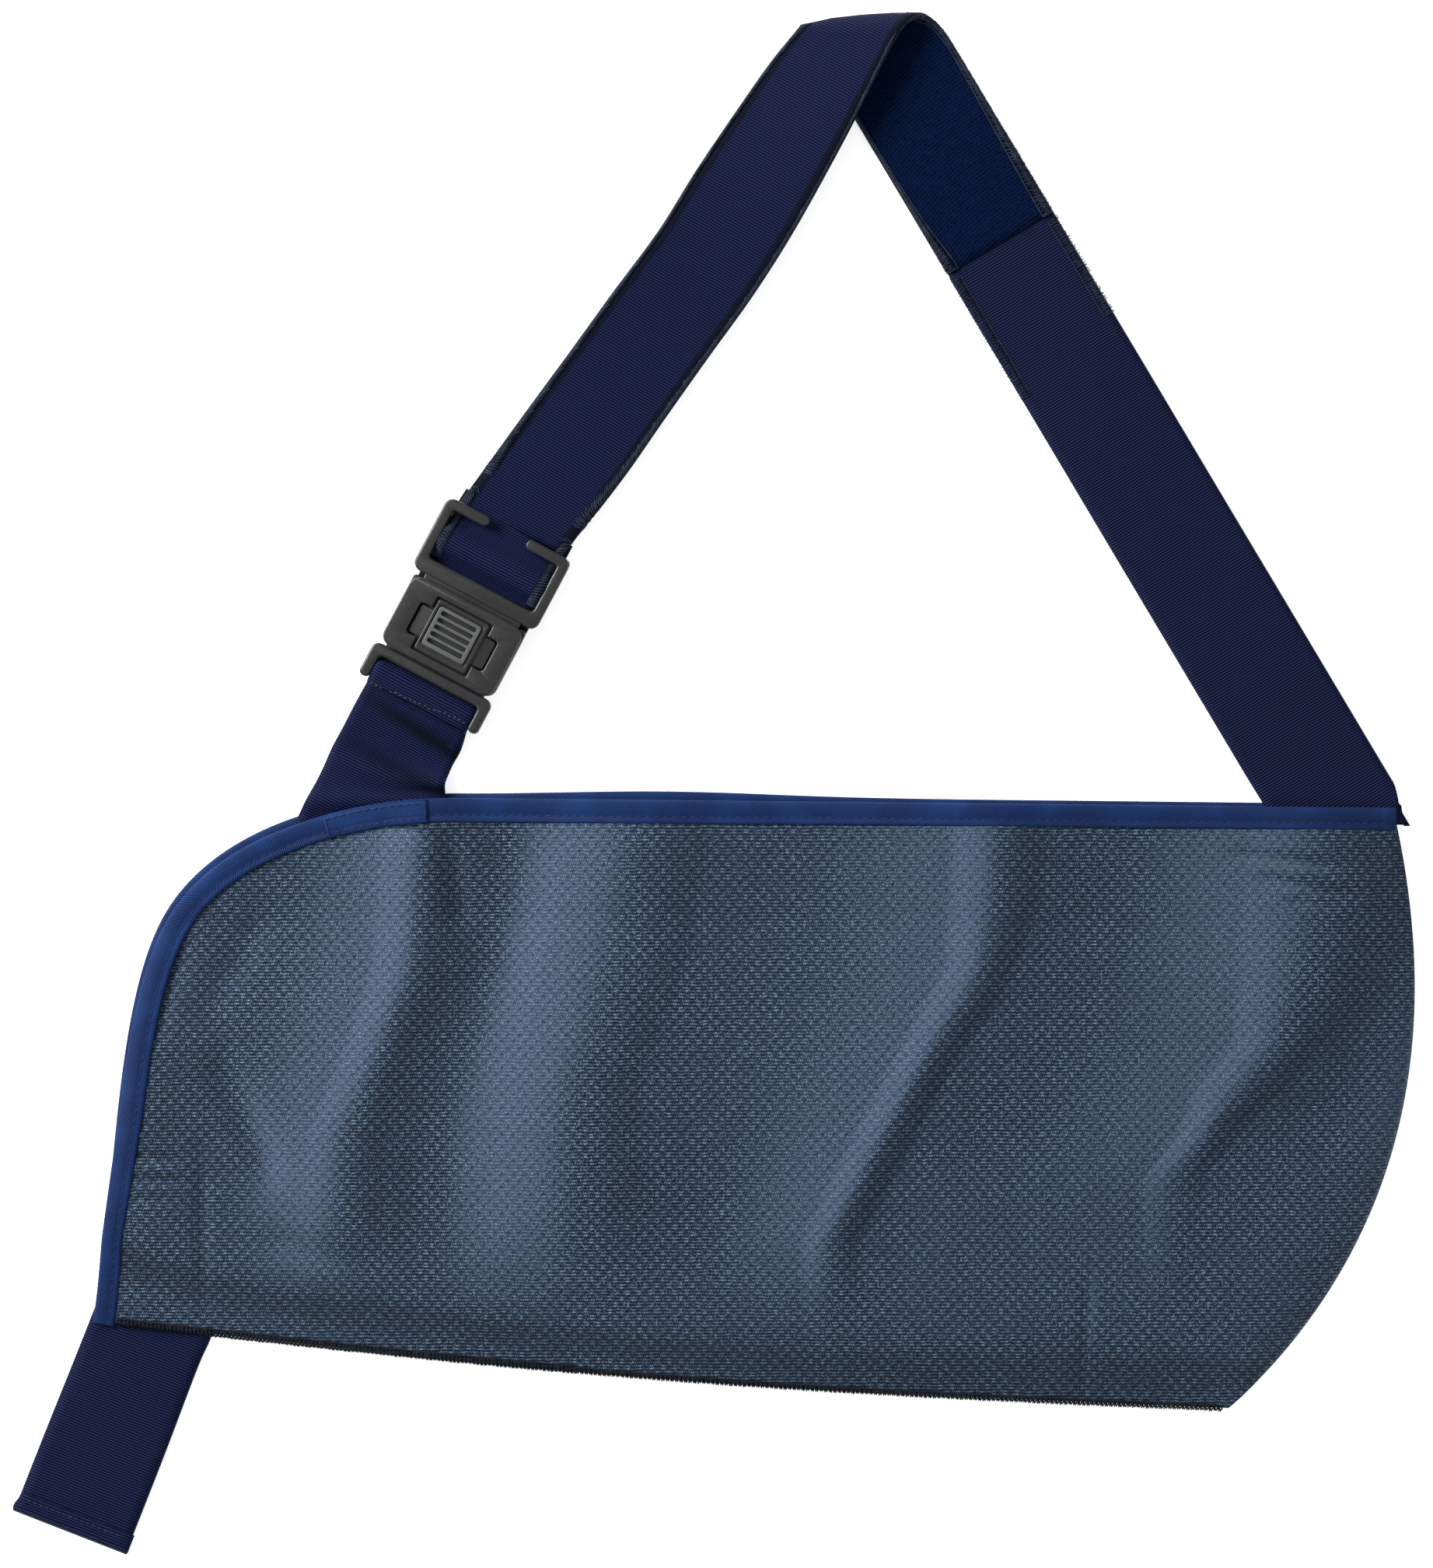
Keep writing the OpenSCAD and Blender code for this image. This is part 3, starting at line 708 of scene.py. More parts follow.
def cloth_grid(inset, columns, rows, height):
    """The pouch's shape inside its open edge, as a patch between four sides."""
    edge = [p + inward for p, inward, s in edge_stations(inset, 1.0, lambda p: 0.0)]
    turn = min(range(len(edge)), key=lambda k: (edge[k] - HAND_END[3]).length)
    side = edge[: turn + 1]
    top = edge[turn:]
    lift = vec(0, 0.9)
    start = side[0] - HAND_END[0]
    bottom = [start * (1 - k / 60) + bottom_side(k / 60) + lift for k in range(61)]
    side = [p + lift * (1 - k / turn) for k, p in enumerate(side)]
    shift = top[-1] - ELBOW_END[3]
    grid = []
    uv = []
    for i in range(columns + 1):
        u = i / columns
        line = []
        flat = []
        for j in range(rows + 1):
            v = j / rows
            elbow = bezier(ELBOW_END, v) + shift * v**4 + lift * (1 - v)
            corners = mix(mix(bottom[0], bottom[-1], u), mix(top[0], top[-1], u), v)
            p = mix(along_line(bottom, u), along_line(top, u), v) - corners
            p += mix(along_line(side, v), elbow, u)
            line.append(Vector((p.x, p.y, height(p))))
            flat.append((p.x, p.y))
        grid.append(line)
        uv.append(flat)
    return grid, uv


def back_height(p):
    near_seam = min(elbow_x(p.y) - p.x, p.y - bottom_y(p.x))
    return 0.5 + 0.35 * (1 - clamp01(near_seam / 3))


grid, uv = cloth_grid(front_inset, 250, 124, creased_height)
front_cloth = shell("front_cloth", grid, CLOTH_T, CLOTH, uv)
painted_fold_shade = front_cloth.data.attributes.new("painted_fold_shade", "FLOAT", "POINT")
for vertex, value in zip(front_cloth.data.vertices, painted_fold_shade.data):
    x = vertex.co.x / MM
    y = vertex.co.y / MM
    # Painted shade and highlight per point: the slope of the folds and creases toward the key light, less
    # the painted shade of the stripe above the hem.
    slope = (folds(x + 1, y) - folds(x - 1, y)) / 0.34
    slope += (creased(x + 1, y) - creased(x - 1, y)) / 0.7
    slope -= (creased(x, y + 1) - creased(x, y - 1)) / 0.9
    value.value = max(-1, min(1, slope - 1.15 * hem_dip_and_painted_shade(x, y)))
put(front_cloth, "pouch", "mesh_cloth", "front_panel", "elbow_seam")
grid, uv = cloth_grid(back_inset, 120, 60, back_height)
back_cloth = shell("back_cloth", grid, CLOTH_T, CLOTH, uv)
put(back_cloth, "pouch", "mesh_cloth", "back_panel")


# ---- binding
def binding_section(tape, puff):
    """Tape folded over an edge: up round the fold, dipping at the stitching, and back below."""
    top = CLOTH_T / 2 + tape
    dip = BINDING_W - 2.4
    upper = [
        (0.15, top * 0.55), (0.7, top * 0.95), (1.8, top + puff), (3.4, top + puff),
        (dip - 0.9, top + puff * 0.4), (dip, top - 0.22), (dip + 0.8, top + puff * 0.2),
        (BINDING_W - 0.5, top), (BINDING_W, top - 0.25), (BINDING_W, CLOTH_T / 2),
    ]
    lower = [(w, -z if w < BINDING_W else -CLOTH_T / 2) for w, z in reversed(upper)]
    return [(0.0, 0.0)] + upper + lower[1:]


front_stations = edge_stations(front_inset, 0.7, panel_height)
front_binding = swept("front_binding_tape", front_stations, binding_section(TAPE_T, 0.25), 0.05)
put(front_binding, "pouch", "binding_tape", "front_binding")
back_stations = edge_stations(back_inset, 0.37, lambda p: 1.02)
back_binding = swept("back_binding_tape", back_stations, binding_section(0.4, 0.12), 0.14)
put(back_binding, "pouch", "binding_tape", "back_binding")

DASH_STEP = 0.25
JOIN_FROM = 202
JOIN_TO = 238


# The end of the binding tape, laid over its beginning
join = edge_stations(front_inset, 0.7, panel_height, JOIN_FROM, JOIN_TO)
JOIN_SECTION = [
    (0.3, 1.1), (1.8, 1.55), (4.5, 1.55), (7.4, 1.4), (8.1, 1.1), (8.1, 0.8), (4.0, 0.9), (0.5, 0.8),
]
put(swept("binding_join", join, JOIN_SECTION, 0.05), "pouch", "binding_tape", "binding_overlap")


def dashes(stations, w, z, dash, pitch):
    """Stitches along the stations: thread that comes up, runs along and goes down."""
    line = []
    for p, inward, s in stations:
        line.append(p + inward * (w * piecewise(WIDTH_STOPS, s) / BINDING_W) + up(z))
    line = resample(line, DASH_STEP)
    step = round(pitch / DASH_STEP)
    length = round(dash / DASH_STEP)
    paths = []
    for k in range(0, len(line) - length - 1, step):
        run = [line[k + i].copy() for i in (0, 1, length // 2, length - 1, length)]
        run[0].z -= 0.3
        run[-1].z -= 0.3
        paths.append(run)
    return paths


stitches = dashes(front_stations, BINDING_W - 2.4, 0.72, 2.2, 3.0)
stitches += dashes(join, 1.6, 1.62, 2.0, 2.8)
stitches += dashes(join, 6.6, 1.50, 2.0, 2.8)
for p, inward, s in (join[1], join[-2]):
    stitches.append([p + inward * (1.6 + 0.5 * k) + up(1.6) for k in range(11)])
binding_stitches = tubes("binding_stitches", stitches, 0.17, BLUE_THREAD)
put(binding_stitches, "pouch", "thread", "binding_stitch")


# ---- overlocked edges
EDGE_STEP = 0.5


def overlock(edge, inward, out, loop, pitch, count, rough, height, gap, shift=0.0, between=False):
    """Thread looped round an edge. loop holds the place along, the reach inwards and the side."""
    path = []
    needle = []
    for k in range(count):
        for step, (at, w, side) in enumerate(loop):
            x = (k + at) * pitch / EDGE_STEP
            i = min(int(x), len(edge) - 2)
            p = mix(edge[i], edge[i + 1], x - i) if between else edge[i]
            if w < 0:
                w -= random.random() * rough
            p = p + inward[i] * w + out[i] * (side * (height + gap) + shift)
            p.z = max(p.z, THREAD_MIN_Z)
            path.append(p)
            if step == 0:
                needle.append(p + out[i] * (gap - 0.02))
    return [path, needle]


def edge_lines(edge, inner):
    """Resampled edge and the unit directions from it to the inner line."""
    e = resample(edge, EDGE_STEP)
    q = [(along_line(inner, k / (len(e) - 1)) - p).normalized() for k, p in enumerate(e)]
    return e, q


bottom = [bottom_side(0.022 + 0.978 * k / 200) + vec(0, 0.2, 1.75) for k in range(201)]
inner = [p + vec(0, 3) for p in bottom]
e, q = edge_lines(bottom, inner)
cut = int(len(e) * 0.42)
loops = []
for part, width, height, pitch in ((slice(0, cut), 2.2, 1.2, 1.3), (slice(cut - 5, None), 1.7, 1.1, 1.5)):
    loop = (
        (0.0, width, 1.0), (0.18, width * 0.5, 1.0), (0.30, 0.2, 0.9), (0.40, -0.32, 0.0),
        (0.50, 0.2, -0.9), (0.58, width * 0.6, -1.0), (0.70, 0.2, -0.9), (0.80, -0.32, 0.0),
        (0.88, 0.2, 0.9), (0.95, width * 0.5, 1.0),
    )
    count = int(len(e[part]) / pitch * EDGE_STEP) - 1
    loops += overlock(e[part], q[part], [up(1)] * len(e), loop, pitch, count, 0.3, height, 0.14, 0, True)
put(tubes("bottom_overlock", loops, 0.28, DARK_THREAD), "pouch", "thread", "bottom_seam")


# ---- long strap: elbow leg
LEAN = math.radians(30.8)
LEG_UP = vec(-math.sin(LEAN), math.cos(LEAN))
LEG_OUT = vec(math.cos(LEAN), math.sin(LEAN))
LEG_AT = vec(141.25, 100)
HALF_WEB = 20.0
COLUMNS = [-1 + 2 * k / 16 for k in range(17)]


def leg_point(a, s, z=0.82):
    """Point of the elbow leg at place a across it and s along it."""
    p = LEG_AT + LEG_OUT * (a * HALF_WEB) + LEG_UP * s
    return Vector((p.x, p.y, z))


LINING_CUT = 92.3
SEWN_END = -13.5


def leg_grid(s0, s1, n):
    grid = []
    uv = []
    for i in range(n + 1):
        s = mix(s0, s1, i / n)
        ripple = 0.35 * math.sin(s / 17) * clamp01((s + 90) / 40)
        grid.append([leg_point(a, s, 0.95 + ripple * 0.5 * (1 - a * a * 0.5)) for a in COLUMNS])
        uv.append([(a * HALF_WEB, s) for a in COLUMNS])
    return grid, uv


def elbow_strap():
    """From its sewn end inside the pouch up to the cut end of the lining."""
    grid, uv = leg_grid(-148, LINING_CUT, 130)
    for i, row in enumerate(grid):
        for j, p in enumerate(row):
            if p.y < SEWN_END:
                shift = (SEWN_END - p.y) / LEG_UP.y
                row[j] = p + LEG_UP * shift
                uv[i][j] = (uv[i][j][0], uv[i][j][1] + shift)
            in_pouch = smooth((4 - row[j].y) / 12)
            row[j].z = mix(row[j].z, 2.1, in_pouch)
    keep = 0
    while grid[keep + 1][-1].y < -13.4 and grid[keep + 1][0].y < -13.4:
        keep += 1
    grid = grid[keep:]
    uv = uv[keep:]
    for row in grid:
        row[-1].x = min(row[-1].x, 227.6 - (row[-1].y - SEWN_END) * 0.25)
    return shell("elbow_strap", grid, STRAP_T, WEB, uv)


put_between(
    elbow_strap(), ("pouch", "strap_loop"), "webbing", (200, -5, 0), (200, 8, 0),
    "right_strap", "elbow_anchor", "elbow_anchor_stitch",
)


# ---- long strap: fold, buckle leg, slider
BUCKLE_AT = vec(-86.7, 48.5)
BUCKLE_LEAN = math.radians(28)
BUCKLE_UP = vec(math.sin(BUCKLE_LEAN), math.cos(BUCKLE_LEAN))
BUCKLE_OUT = vec(math.cos(BUCKLE_LEAN), -math.sin(BUCKLE_LEAN))
TAIL_HALF = 18.2
HAND_HALF = 17.9


def in_buckle(x, y, z):
    p = BUCKLE_AT + BUCKLE_OUT * x + BUCKLE_UP * y
    return Vector((p.x, p.y, z))


UPPER_ROWS = [
    (vec(26.8, 248.9, 3.9), vec(58, 244.0, 9.0)),
    (vec(18, 238, 3.9), vec(50, 228.0, 8.6)),
    (vec(8, 223.8, 3.9), vec(39.8, 208.4, 7.2)),
    (vec(-5.9, 203.2, 4.0), vec(25.4, 182.7, 5.8)),
    (vec(-18.8, 182.5, 4.1), vec(12.1, 161.9, 5.0)),
    (vec(-34.1, 161.9, 4.1), vec(-2.8, 141.3, 4.5)),
    (vec(-49, 141.3, 4.0), vec(-17.5, 120.6, 4.2)),
    (vec(-64.2, 120.6, 3.9), vec(-32, 100, 4.0)),
    (vec(-84.1, 93.2, 3.8), vec(-51.7, 75.2, 3.8)),
]
SLIDER_PATH = [
    vec(41, 3.8), vec(38.5, 3.7), vec(36, 4.0), vec(33.2, 5.1), vec(30.4, 7.0), vec(27.2, 7.8),
    vec(24.6, 7.0), vec(22.8, 5.1), vec(20.4, 3.4), vec(15, 3.0), vec(9, 2.9), vec(6.2, 2.7),
    vec(5.0, 1.8), vec(6.2, 0.9), vec(9, 0.75), vec(27, 0.75), vec(45, 0.75),
]


def fibre(a):
    """One thread line of the folded strap, from the lining's cut end through the slider."""
    b = (a + 1) / 2
    apex = piecewise([(-1, 250.5), (-0.5, 252.6), (0, 253.5), (0.5, 253.9), (1, 253.8)], a)
    drop = 1.7 + 8.0 * b**1.3
    s0 = (apex - drop - leg_point(a, 0).y) / LEG_UP.y
    low = [leg_point(a, mix(LINING_CUT, s0, k / 26)) for k in range(27)]
    for p in low:
        p.z = 0.95
    rows = [mix(left, right, b) for left, right in UPPER_ROWS]
    start = low[-1]
    finish = rows[0]
    leave = (rows[1] - rows[0]).normalized()
    reach = drop / 0.75 / 0.87
    reach_up = (apex - finish.y) / 0.75 / max(0.5, abs(leave.y))
    arc = [start, start + LEG_UP * reach, finish - leave * reach_up, finish]
    roll = [bezier(arc, k / 22) for k in range(1, 22)]
    down = [spline(rows, k / 80) for k in range(81)]
    path = [spline(SLIDER_PATH, k / 70) for k in range(1, 71)]
    tail = []
    for k, p in enumerate(path):
        half = mix(18.6, mix(19.8, 19.2, smooth((p.y - 3.3) / 1.0)), smooth((k + 1) / 12))
        tail.append(in_buckle(a * half, p.x, p.y))
    return low + roll + down + tail, len(low) + len(roll) + len(down) - 1


fibres = [fibre(a) for a in COLUMNS]
slider_row = fibres[0][1]
long_grid = [[f[0][i] for f in fibres] for i in range(len(fibres[0][0]))]


def measured_uv(grid, zero_row, half=HALF_WEB):
    """Place across and real distance along, so that ribs keep their pitch round a fold."""
    along = [[0.0] * len(grid[0])]
    for before, row in zip(grid, grid[1:]):
        along.append([s + (p - q).length for s, p, q in zip(along[-1], row, before)])
    across = [(2 * j / (len(grid[0]) - 1) - 1) * half for j in range(len(grid[0]))]
    return [[(x, s - zero) for x, s, zero in zip(across, line, along[zero_row])] for line in along]


def flutter(grid, first, last, size):
    """Small waves in how a strap lies between two rows."""
    for i in range(first, last):
        fade = math.sin(math.pi * (i - first) / (last - first))
        for j, p in enumerate(grid[i]):
            wave = math.sin(i * 0.17 + j * 0.10) + 0.6 * math.sin(i * 0.071 - j * 0.22)
            p.z += size * fade * wave


flutter(long_grid, 52, slider_row - 4, 0.28)
long_uv = measured_uv(long_grid, slider_row)
SLIDE_START = (8, 215, 0)
SLIDE_END = (-58, 102, 0)
long_strap = shell("folded_strap", long_grid, STRAP_T, LINED_WEB, long_uv)
put_between(
    long_strap, ("strap_loop", "plug"), "webbing", SLIDE_START, SLIDE_END,
    "left_strap", "strap_fold", "slider_strap",
)

lining_normals = grid_normals(long_grid)
lining_grid = []
lining_uv = []
for i in range(0, slider_row - 3):
    row = []
    for j in range(17):
        p = long_grid[i][j] + lining_normals[i][j] * 0.93
        if j in (0, 16):
            p = mix(p, long_grid[i][8] + lining_normals[i][8] * 0.93, 0.035)
        row.append(p)
    lining_grid.append(row)
    lining_uv.append(long_uv[i])
lining = shell("pile_lining_cloth", lining_grid, 0.5, PILE, lining_uv)
put_between(lining, ("strap_loop", "plug"), "brushed_pile", SLIDE_START, SLIDE_END, "pile_lining")


def grid_overlock(grid, first, last, side, width, height, pitch, rough, shift):
    """Overlock round one side of a strap grid, following its normals."""
    rows = range(first, last)
    j, j_in = (0, 2) if side < 0 else (-1, -3)
    normals = grid_normals(grid)
    face = [normals[i][j_in] for i in rows]
    e, q = edge_lines([grid[i][j] for i in rows], [grid[i][j_in] for i in rows])
    out = [face[int(k / (len(e) - 1) * (len(face) - 1) + 0.5)] for k in range(len(e))]
    loop = (
        (0.0, width, 1.0), (0.3, width * 0.5, 1.1), (0.1, 0.2, 0.9), (0.41, -0.3, 0.0),
        (0.50, 0.2, -0.9), (0.95, width * 0.55, -1.1), (0.58, width, -1.0),
        (0.45, width * 0.5, -1.15), (0.70, 0.2, -0.9), (0.79, -0.3, 0.0), (0.88, 0.2, 0.9),
    )
    count = int((len(e) - 2) * EDGE_STEP / pitch)
    return overlock(e, q, out, loop, pitch, count, rough, height, 0.12, shift)


lined_rows = slider_row - 2
stretches = [(0, lined_rows, side, 3.6, 0.95, 0.85, 0.3, 0.25) for side in (1, -1)]
stretches += [(lined_rows, slider_row + 36, side, 3.2, 0.70, 1.0, 0.1, 0.0) for side in (1, -1)]
threads = [path for stretch in stretches for path in grid_overlock(long_grid, *stretch)]
strap_overlock = tubes("strap_overlock", threads, 0.2, OVERLOCK)
put_between(
    strap_overlock, ("strap_loop", "plug"), "thread", SLIDE_START, SLIDE_END,
    "left_strap_overlock",
)

leg, _ = leg_grid(44, LINING_CUT, 100)
loose = grid_overlock(leg, 20, 100, 1, 3.0, 0.72, 1.1, 0.9, 0.0)
loose += grid_overlock(leg, 0, 100, -1, 3.0, 0.72, 1.1, 0.5, 0.0)
put(tubes("leg_overlock", loose, 0.14, OVERLOCK), "strap_loop", "thread", "right_strap_overlock")


# ---- tail under the buckle leg
def tail_path():
    start = in_buckle(0.7, 44.6, 0.75)
    knee = vec(-26.5, 140.1, 0.75)
    end = vec(-4.5, 171.1, 0.75)
    return [start, mix(start, knee, 0.5), knee, mix(knee, end, 0.5), end]


def ribbon(name, path, half, t, material, lift=0.0):
    """A flat strap along a line of points in the plane."""
    points = resample([spline(path, k / 200) for k in range(201)], 1.5)
    across = [(c / 4 - 1) * half for c in range(9)]
    grid = []
    uv = []
    for k, p in enumerate(points):
        tangent = direction(points, k)
        side = vec(tangent.y, -tangent.x).normalized()
        grid.append([p + side * x + up(lift) for x in across])
        uv.append([(x, k * 1.5) for x in across])
    return shell(name, grid, t, material, uv), grid


tail, _ = ribbon("strap_tail_webbing", tail_path(), TAIL_HALF, WEB_T, WEB)
put(tail, "plug", "webbing", "strap_tail")
patch_path = [mix(tail_path()[2], tail_path()[4], 0.12 + 0.43 * k) for k in range(3)]
patch, patch_grid = ribbon("hook_patch_tape", patch_path, TAIL_HALF - 2.5, 0.4, HOOKS, lift=0.9)
put(patch, "plug", "hook_tape", "hook_patch")
ring = [row[0] for row in patch_grid] + patch_grid[-1] + [row[-1] for row in reversed(patch_grid)]
ring = resample(ring + list(reversed(patch_grid[0])), 0.5)
zigzag = [p + vec(0.5 * (k % 2), 0.4 * (k // 2 % 2), 0.3) for k, p in enumerate(ring)]
put(tubes("hook_patch_stitch", [zigzag], 0.15, OVERLOCK), "plug", "thread", "tail_stitch")


# ---- hand strap
def hand_strap_rows():
    """Left and right edges of the hand strap, from inside the pouch to the buckle's rear bar."""
    left = [vec(-146, -28, 2.3), vec(-140.6, -16, 2.3), vec(-136.2, -7, 2.2), vec(-131, 3, 1.8),
            vec(-125.6, 14, 1.6), vec(-120.2, 24.6, 2.4), vec(-114.9, 33.6, 5.2)]
    right = [vec(-94, -28, 2.3), vec(-91.4, -14, 2.3), vec(-90.2, -4.5, 2.4), vec(-89.9, 0.5, 2.2),
             vec(-88.0, 5.8, 1.8), vec(-85.0, 11.2, 2.4), vec(-82.9, 17.0, 5.2)]
    rows = []
    for k in range(45):
        a = spline(left, k / 44)
        b = spline(right, k / 44)
        row = []
        for c in range(17):
            f = c / 16
            p = mix(a, b, f)
            sag = math.sin(math.pi * f)
            wave = math.sin(k * 0.33 + f * 2.6)
            ends = smooth(k / 12) * smooth((44 - k) / 8)
            p.z += 0.8 * wave * sag * ends
            p.z += 2.6 * math.exp(-(((k - 28 + 7 * f) / 3.4) ** 2)) * ends
            p.z += 1.5 * math.exp(-(((k - 16 + 3 * f) / 2.6) ** 2)) * ends
            row.append(p)
        rows.append(row)
    path = [vec(-26.3, 6.6), vec(-23.6, 7.8), vec(-20.2, 8.3), vec(-17.7, 6.3), vec(-19.8, 4.2),
            vec(-24.5, 3.6), vec(-28, 3.4), vec(-33, 2.6)]
    for k in range(1, 41):
        p = spline(path, k / 40)
        rows.append([in_buckle((c / 8 - 1) * HAND_HALF, p.x, p.y) for c in range(17)])
    return rows


hand_grid = hand_strap_rows()
hand_uv = measured_uv(hand_grid, 44, 19.5)
hand_strap = shell("hand_strap_webbing", hand_grid, WEB_T, HAND_WEB, hand_uv)
put_between(
    hand_strap, ("pouch", "strap_loop"), "webbing", (-113, -5, 0), (-113, 6, 0),
    "hand_strap", "hand_strap_loop",
)


def on_hand_strap(x, y):
    """Point on the upper face of the hand strap, from its place in the buckle's frame."""
    target = in_buckle(x, y, 0)
    near = min((p for row in hand_grid[:58] for p in row), key=lambda p: (p.xy - target.xy).length)
    return Vector((target.x, target.y, near.z + 0.68))


def irregular_stitches():
    """The sewn join of the doubled hand strap, a little crooked."""
    paths = []
    for k in range(20):
        x = -16.9 + k * 1.74
        y = -26.4 + 0.10 * (x + 17) + random.uniform(-0.35, 0.35)
        lean = random.uniform(-0.4, 0.4)
        middle = on_hand_strap(x + 0.6, y + lean * 0.5) + up(0.12)
        start = in_buckle(x, y, middle.z - 0.3)
        paths.append([start, middle, in_buckle(x + 1.25, y + lean, middle.z - 0.3)])
    return paths


stitching = tubes("hand_strap_stitches", irregular_stitches(), 0.3, OVERLOCK)
put(stitching, "strap_loop", "thread", "hand_strap_stitch")


# ---- tab and the webbing inside the pouch
def tab_rows():
    left = [vec(-200, -160, 2.2), vec(-204.5, -171, 2.0), vec(-208.2, -180, 1.0), vec(-213, -192, 0.9),
            vec(-222.4, -215.5, 1.1), vec(-232.2, -240.3, 0.9)]
    right = [vec(-160, -160, 2.2), vec(-164, -173, 2.0), vec(-168.2, -184, 1.0), vec(-172.6, -194, 0.9),
             vec(-183.8, -223.5, 1.3), vec(-196.0, -254.4, 0.9)]
    rows = []
    for k in range(61):
        a = spline(left, k / 60)
        b = spline(right, k / 60)
        row = [mix(a, b, c / 12) for c in range(13)]
        for c, p in enumerate(row):
            p.z += 0.25 * math.sin(k * 0.21) * math.sin(math.pi * c / 12) * smooth((60 - k) / 8)
        rows.append(row)
    return rows


tab_grid = tab_rows()
tab_uv = measured_uv(tab_grid, 60)
tab = shell("tab_webbing", tab_grid, WEB_T, WEB, tab_uv)
put_between(tab, ("pouch", "tab"), "webbing", (-186, -178, 0), (-189, -188, 0), "hand_tab")


def tab_end():
    """The turned hem, with its two corners standing a little proud."""
    across = (tab_grid[-1][-1] - tab_grid[-1][0]).normalized()
    inward = vec(-across.y, across.x)
    grid = []
    uv = []
    for i in range(9):
        w = i / 8 * 6.6
        row = []
        flat = []
        for c in range(15):
            f = c / 14
            p = mix(tab_grid[-1][0], tab_grid[-1][-1], f)
            corner = 0.7 * smooth((f - 0.93) / 0.07) + 0.8 * smooth((0.05 - f) / 0.05) * smooth((5 - w) / 3)
            p = p + inward * (w - 0.3) + across * corner * (1 if f > 0.5 else -1)
            p.z = 0.9 + 1.05 * smooth(w / 1.4) - 0.35 * smooth((w - 5.4) / 1.2)
            row.append(p)
            flat.append((f * 40 - 20, w))
        grid.append(row)
        uv.append(flat)
    return shell("tab_hem_webbing", grid, 1.0, WEB, uv), grid


hem, hem_grid = tab_end()
put(hem, "tab", "webbing", "tab_hem")
line = [p + up(0.55) for p in hem_grid[6][1:-1]]
hem_runs = []
for k in range(16):
    t0 = k / 16
    run = [spline(line, t0 + 0.045 * i / 3) for i in range(4)]
    run[0].z -= 0.2
    run[-1].z -= 0.2
    hem_runs.append(run)
put(tubes("tab_hem_stitches", hem_runs, 0.18, OVERLOCK), "tab", "thread", "hem_stitch")

inside = [vec(-122.5, -28, 2.0), vec(-140, -72, 1.9), vec(-160, -118, 1.9), vec(-177, -156, 1.9)]
inner_web, _ = ribbon("inner_webbing", inside, 19.5, WEB_T, WEB)
put(inner_web, "pouch", "webbing", "inner_hand_strap", "hand_anchor_stitch")


# ---- buckle
def fillet(corners, steps=6):
    """Polygon through (x, y, radius) corners with each one rounded."""
    out = []
    n = len(corners)
    for i, (x, y, r) in enumerate(corners):
        p = Vector((x, y))
        if r <= 0:
            out.append(p)
            continue
        a = Vector(corners[i - 1][:2]) - p
        b = Vector(corners[(i + 1) % n][:2]) - p
        a.normalize()
        b.normalize()
        half = math.acos(max(-1, min(1, a.dot(b)))) / 2
        reach = r / math.tan(half)
        start = p + a * reach
        stop = p + b * reach
        centre = p + (a + b).normalized() * (r / math.sin(half))
        u = start - centre
        v = stop - centre
        angle = u.angle(v)
        for k in range(steps + 1):
            t = k / steps
            out.append(centre + (u * math.sin((1 - t) * angle) + v * math.sin(t * angle)) / math.sin(angle))
    return out


def box(w, l, r, cx=0.0, cy=0.0):
    """Corners of a rounded rectangle."""
    left, right = cx - w / 2, cx + w / 2
    low, high = cy - l / 2, cy + l / 2
    return [(left, low, r), (right, low, r), (right, high, r), (left, high, r)]


def mirrored(half):
    """Corners of the left half, and the same on the right."""
    return half + [(-x, y, r) for x, y, r in reversed(half)]


def plate(name, outlines, z0, z1, bevel):
    """A moulded plate in the buckle's own frame, its edges rounded."""
    curve = bpy.data.curves.new(name + "_curve", "CURVE")
    curve.dimensions = "2D"
    curve.fill_mode = "BOTH"
    curve.extrude = (z1 - z0) / 2 * MM - bevel * MM
    curve.bevel_depth = bevel * MM
    curve.bevel_resolution = 3
    curve.offset = -bevel * MM
    for outline in map(fillet, outlines):
        track = curve.splines.new("POLY")
        track.points.add(len(outline) - 1)
        for point, p in zip(track.points, outline):
            point.co = (p.x * MM, p.y * MM, 0, 1)
        track.use_cyclic_u = True
    holder = in_scene(name + "_holder", curve)
    bpy.context.view_layer.update()
    evaluated = holder.evaluated_get(bpy.context.evaluated_depsgraph_get())
    mesh = bpy.data.meshes.new_from_object(evaluated)
    bpy.data.objects.remove(holder)
    middle = (z0 + z1) / 2
    for v in mesh.vertices:
        v.co = in_buckle(v.co.x / MM, v.co.y / MM, v.co.z / MM + middle) * MM
    return mesh


def moulded(name, meshes, body, node):
    """Several plates as one moulded part."""
    bm = bmesh.new()
    for mesh in meshes:
        bm.from_mesh(mesh)
    bmesh.ops.remove_doubles(bm, verts=bm.verts, dist=0.000005)
    mesh = bpy.data.meshes.new(name)
    bm.to_mesh(mesh)
    bm.free()
    mesh.materials.clear()
    mesh.materials.append(PLASTIC)
    for polygon in mesh.polygons:
        polygon.use_smooth = True
        polygon.material_index = 0
    obj = in_scene(name, mesh)
    split = obj.modifiers.new("edges", "EDGE_SPLIT")
    split.split_angle = math.radians(50)
    put(obj, body, "buckle_plastic", node)


def lofted(bm, rings, capped):
    """Faces between rings of points in the buckle's frame."""
    rings = [[bm.verts.new(in_buckle(*p) * MM) for p in ring] for ring in rings]
    for a, b in zip(rings, rings[1:]):
        for i in range(len(a)):
            k = (i + 1) % len(a)
            bm.faces.new((a[i], a[k], b[k], b[i]))
    if capped:
        bm.faces.new(rings[0])
        bm.faces.new(list(reversed(rings[-1])))


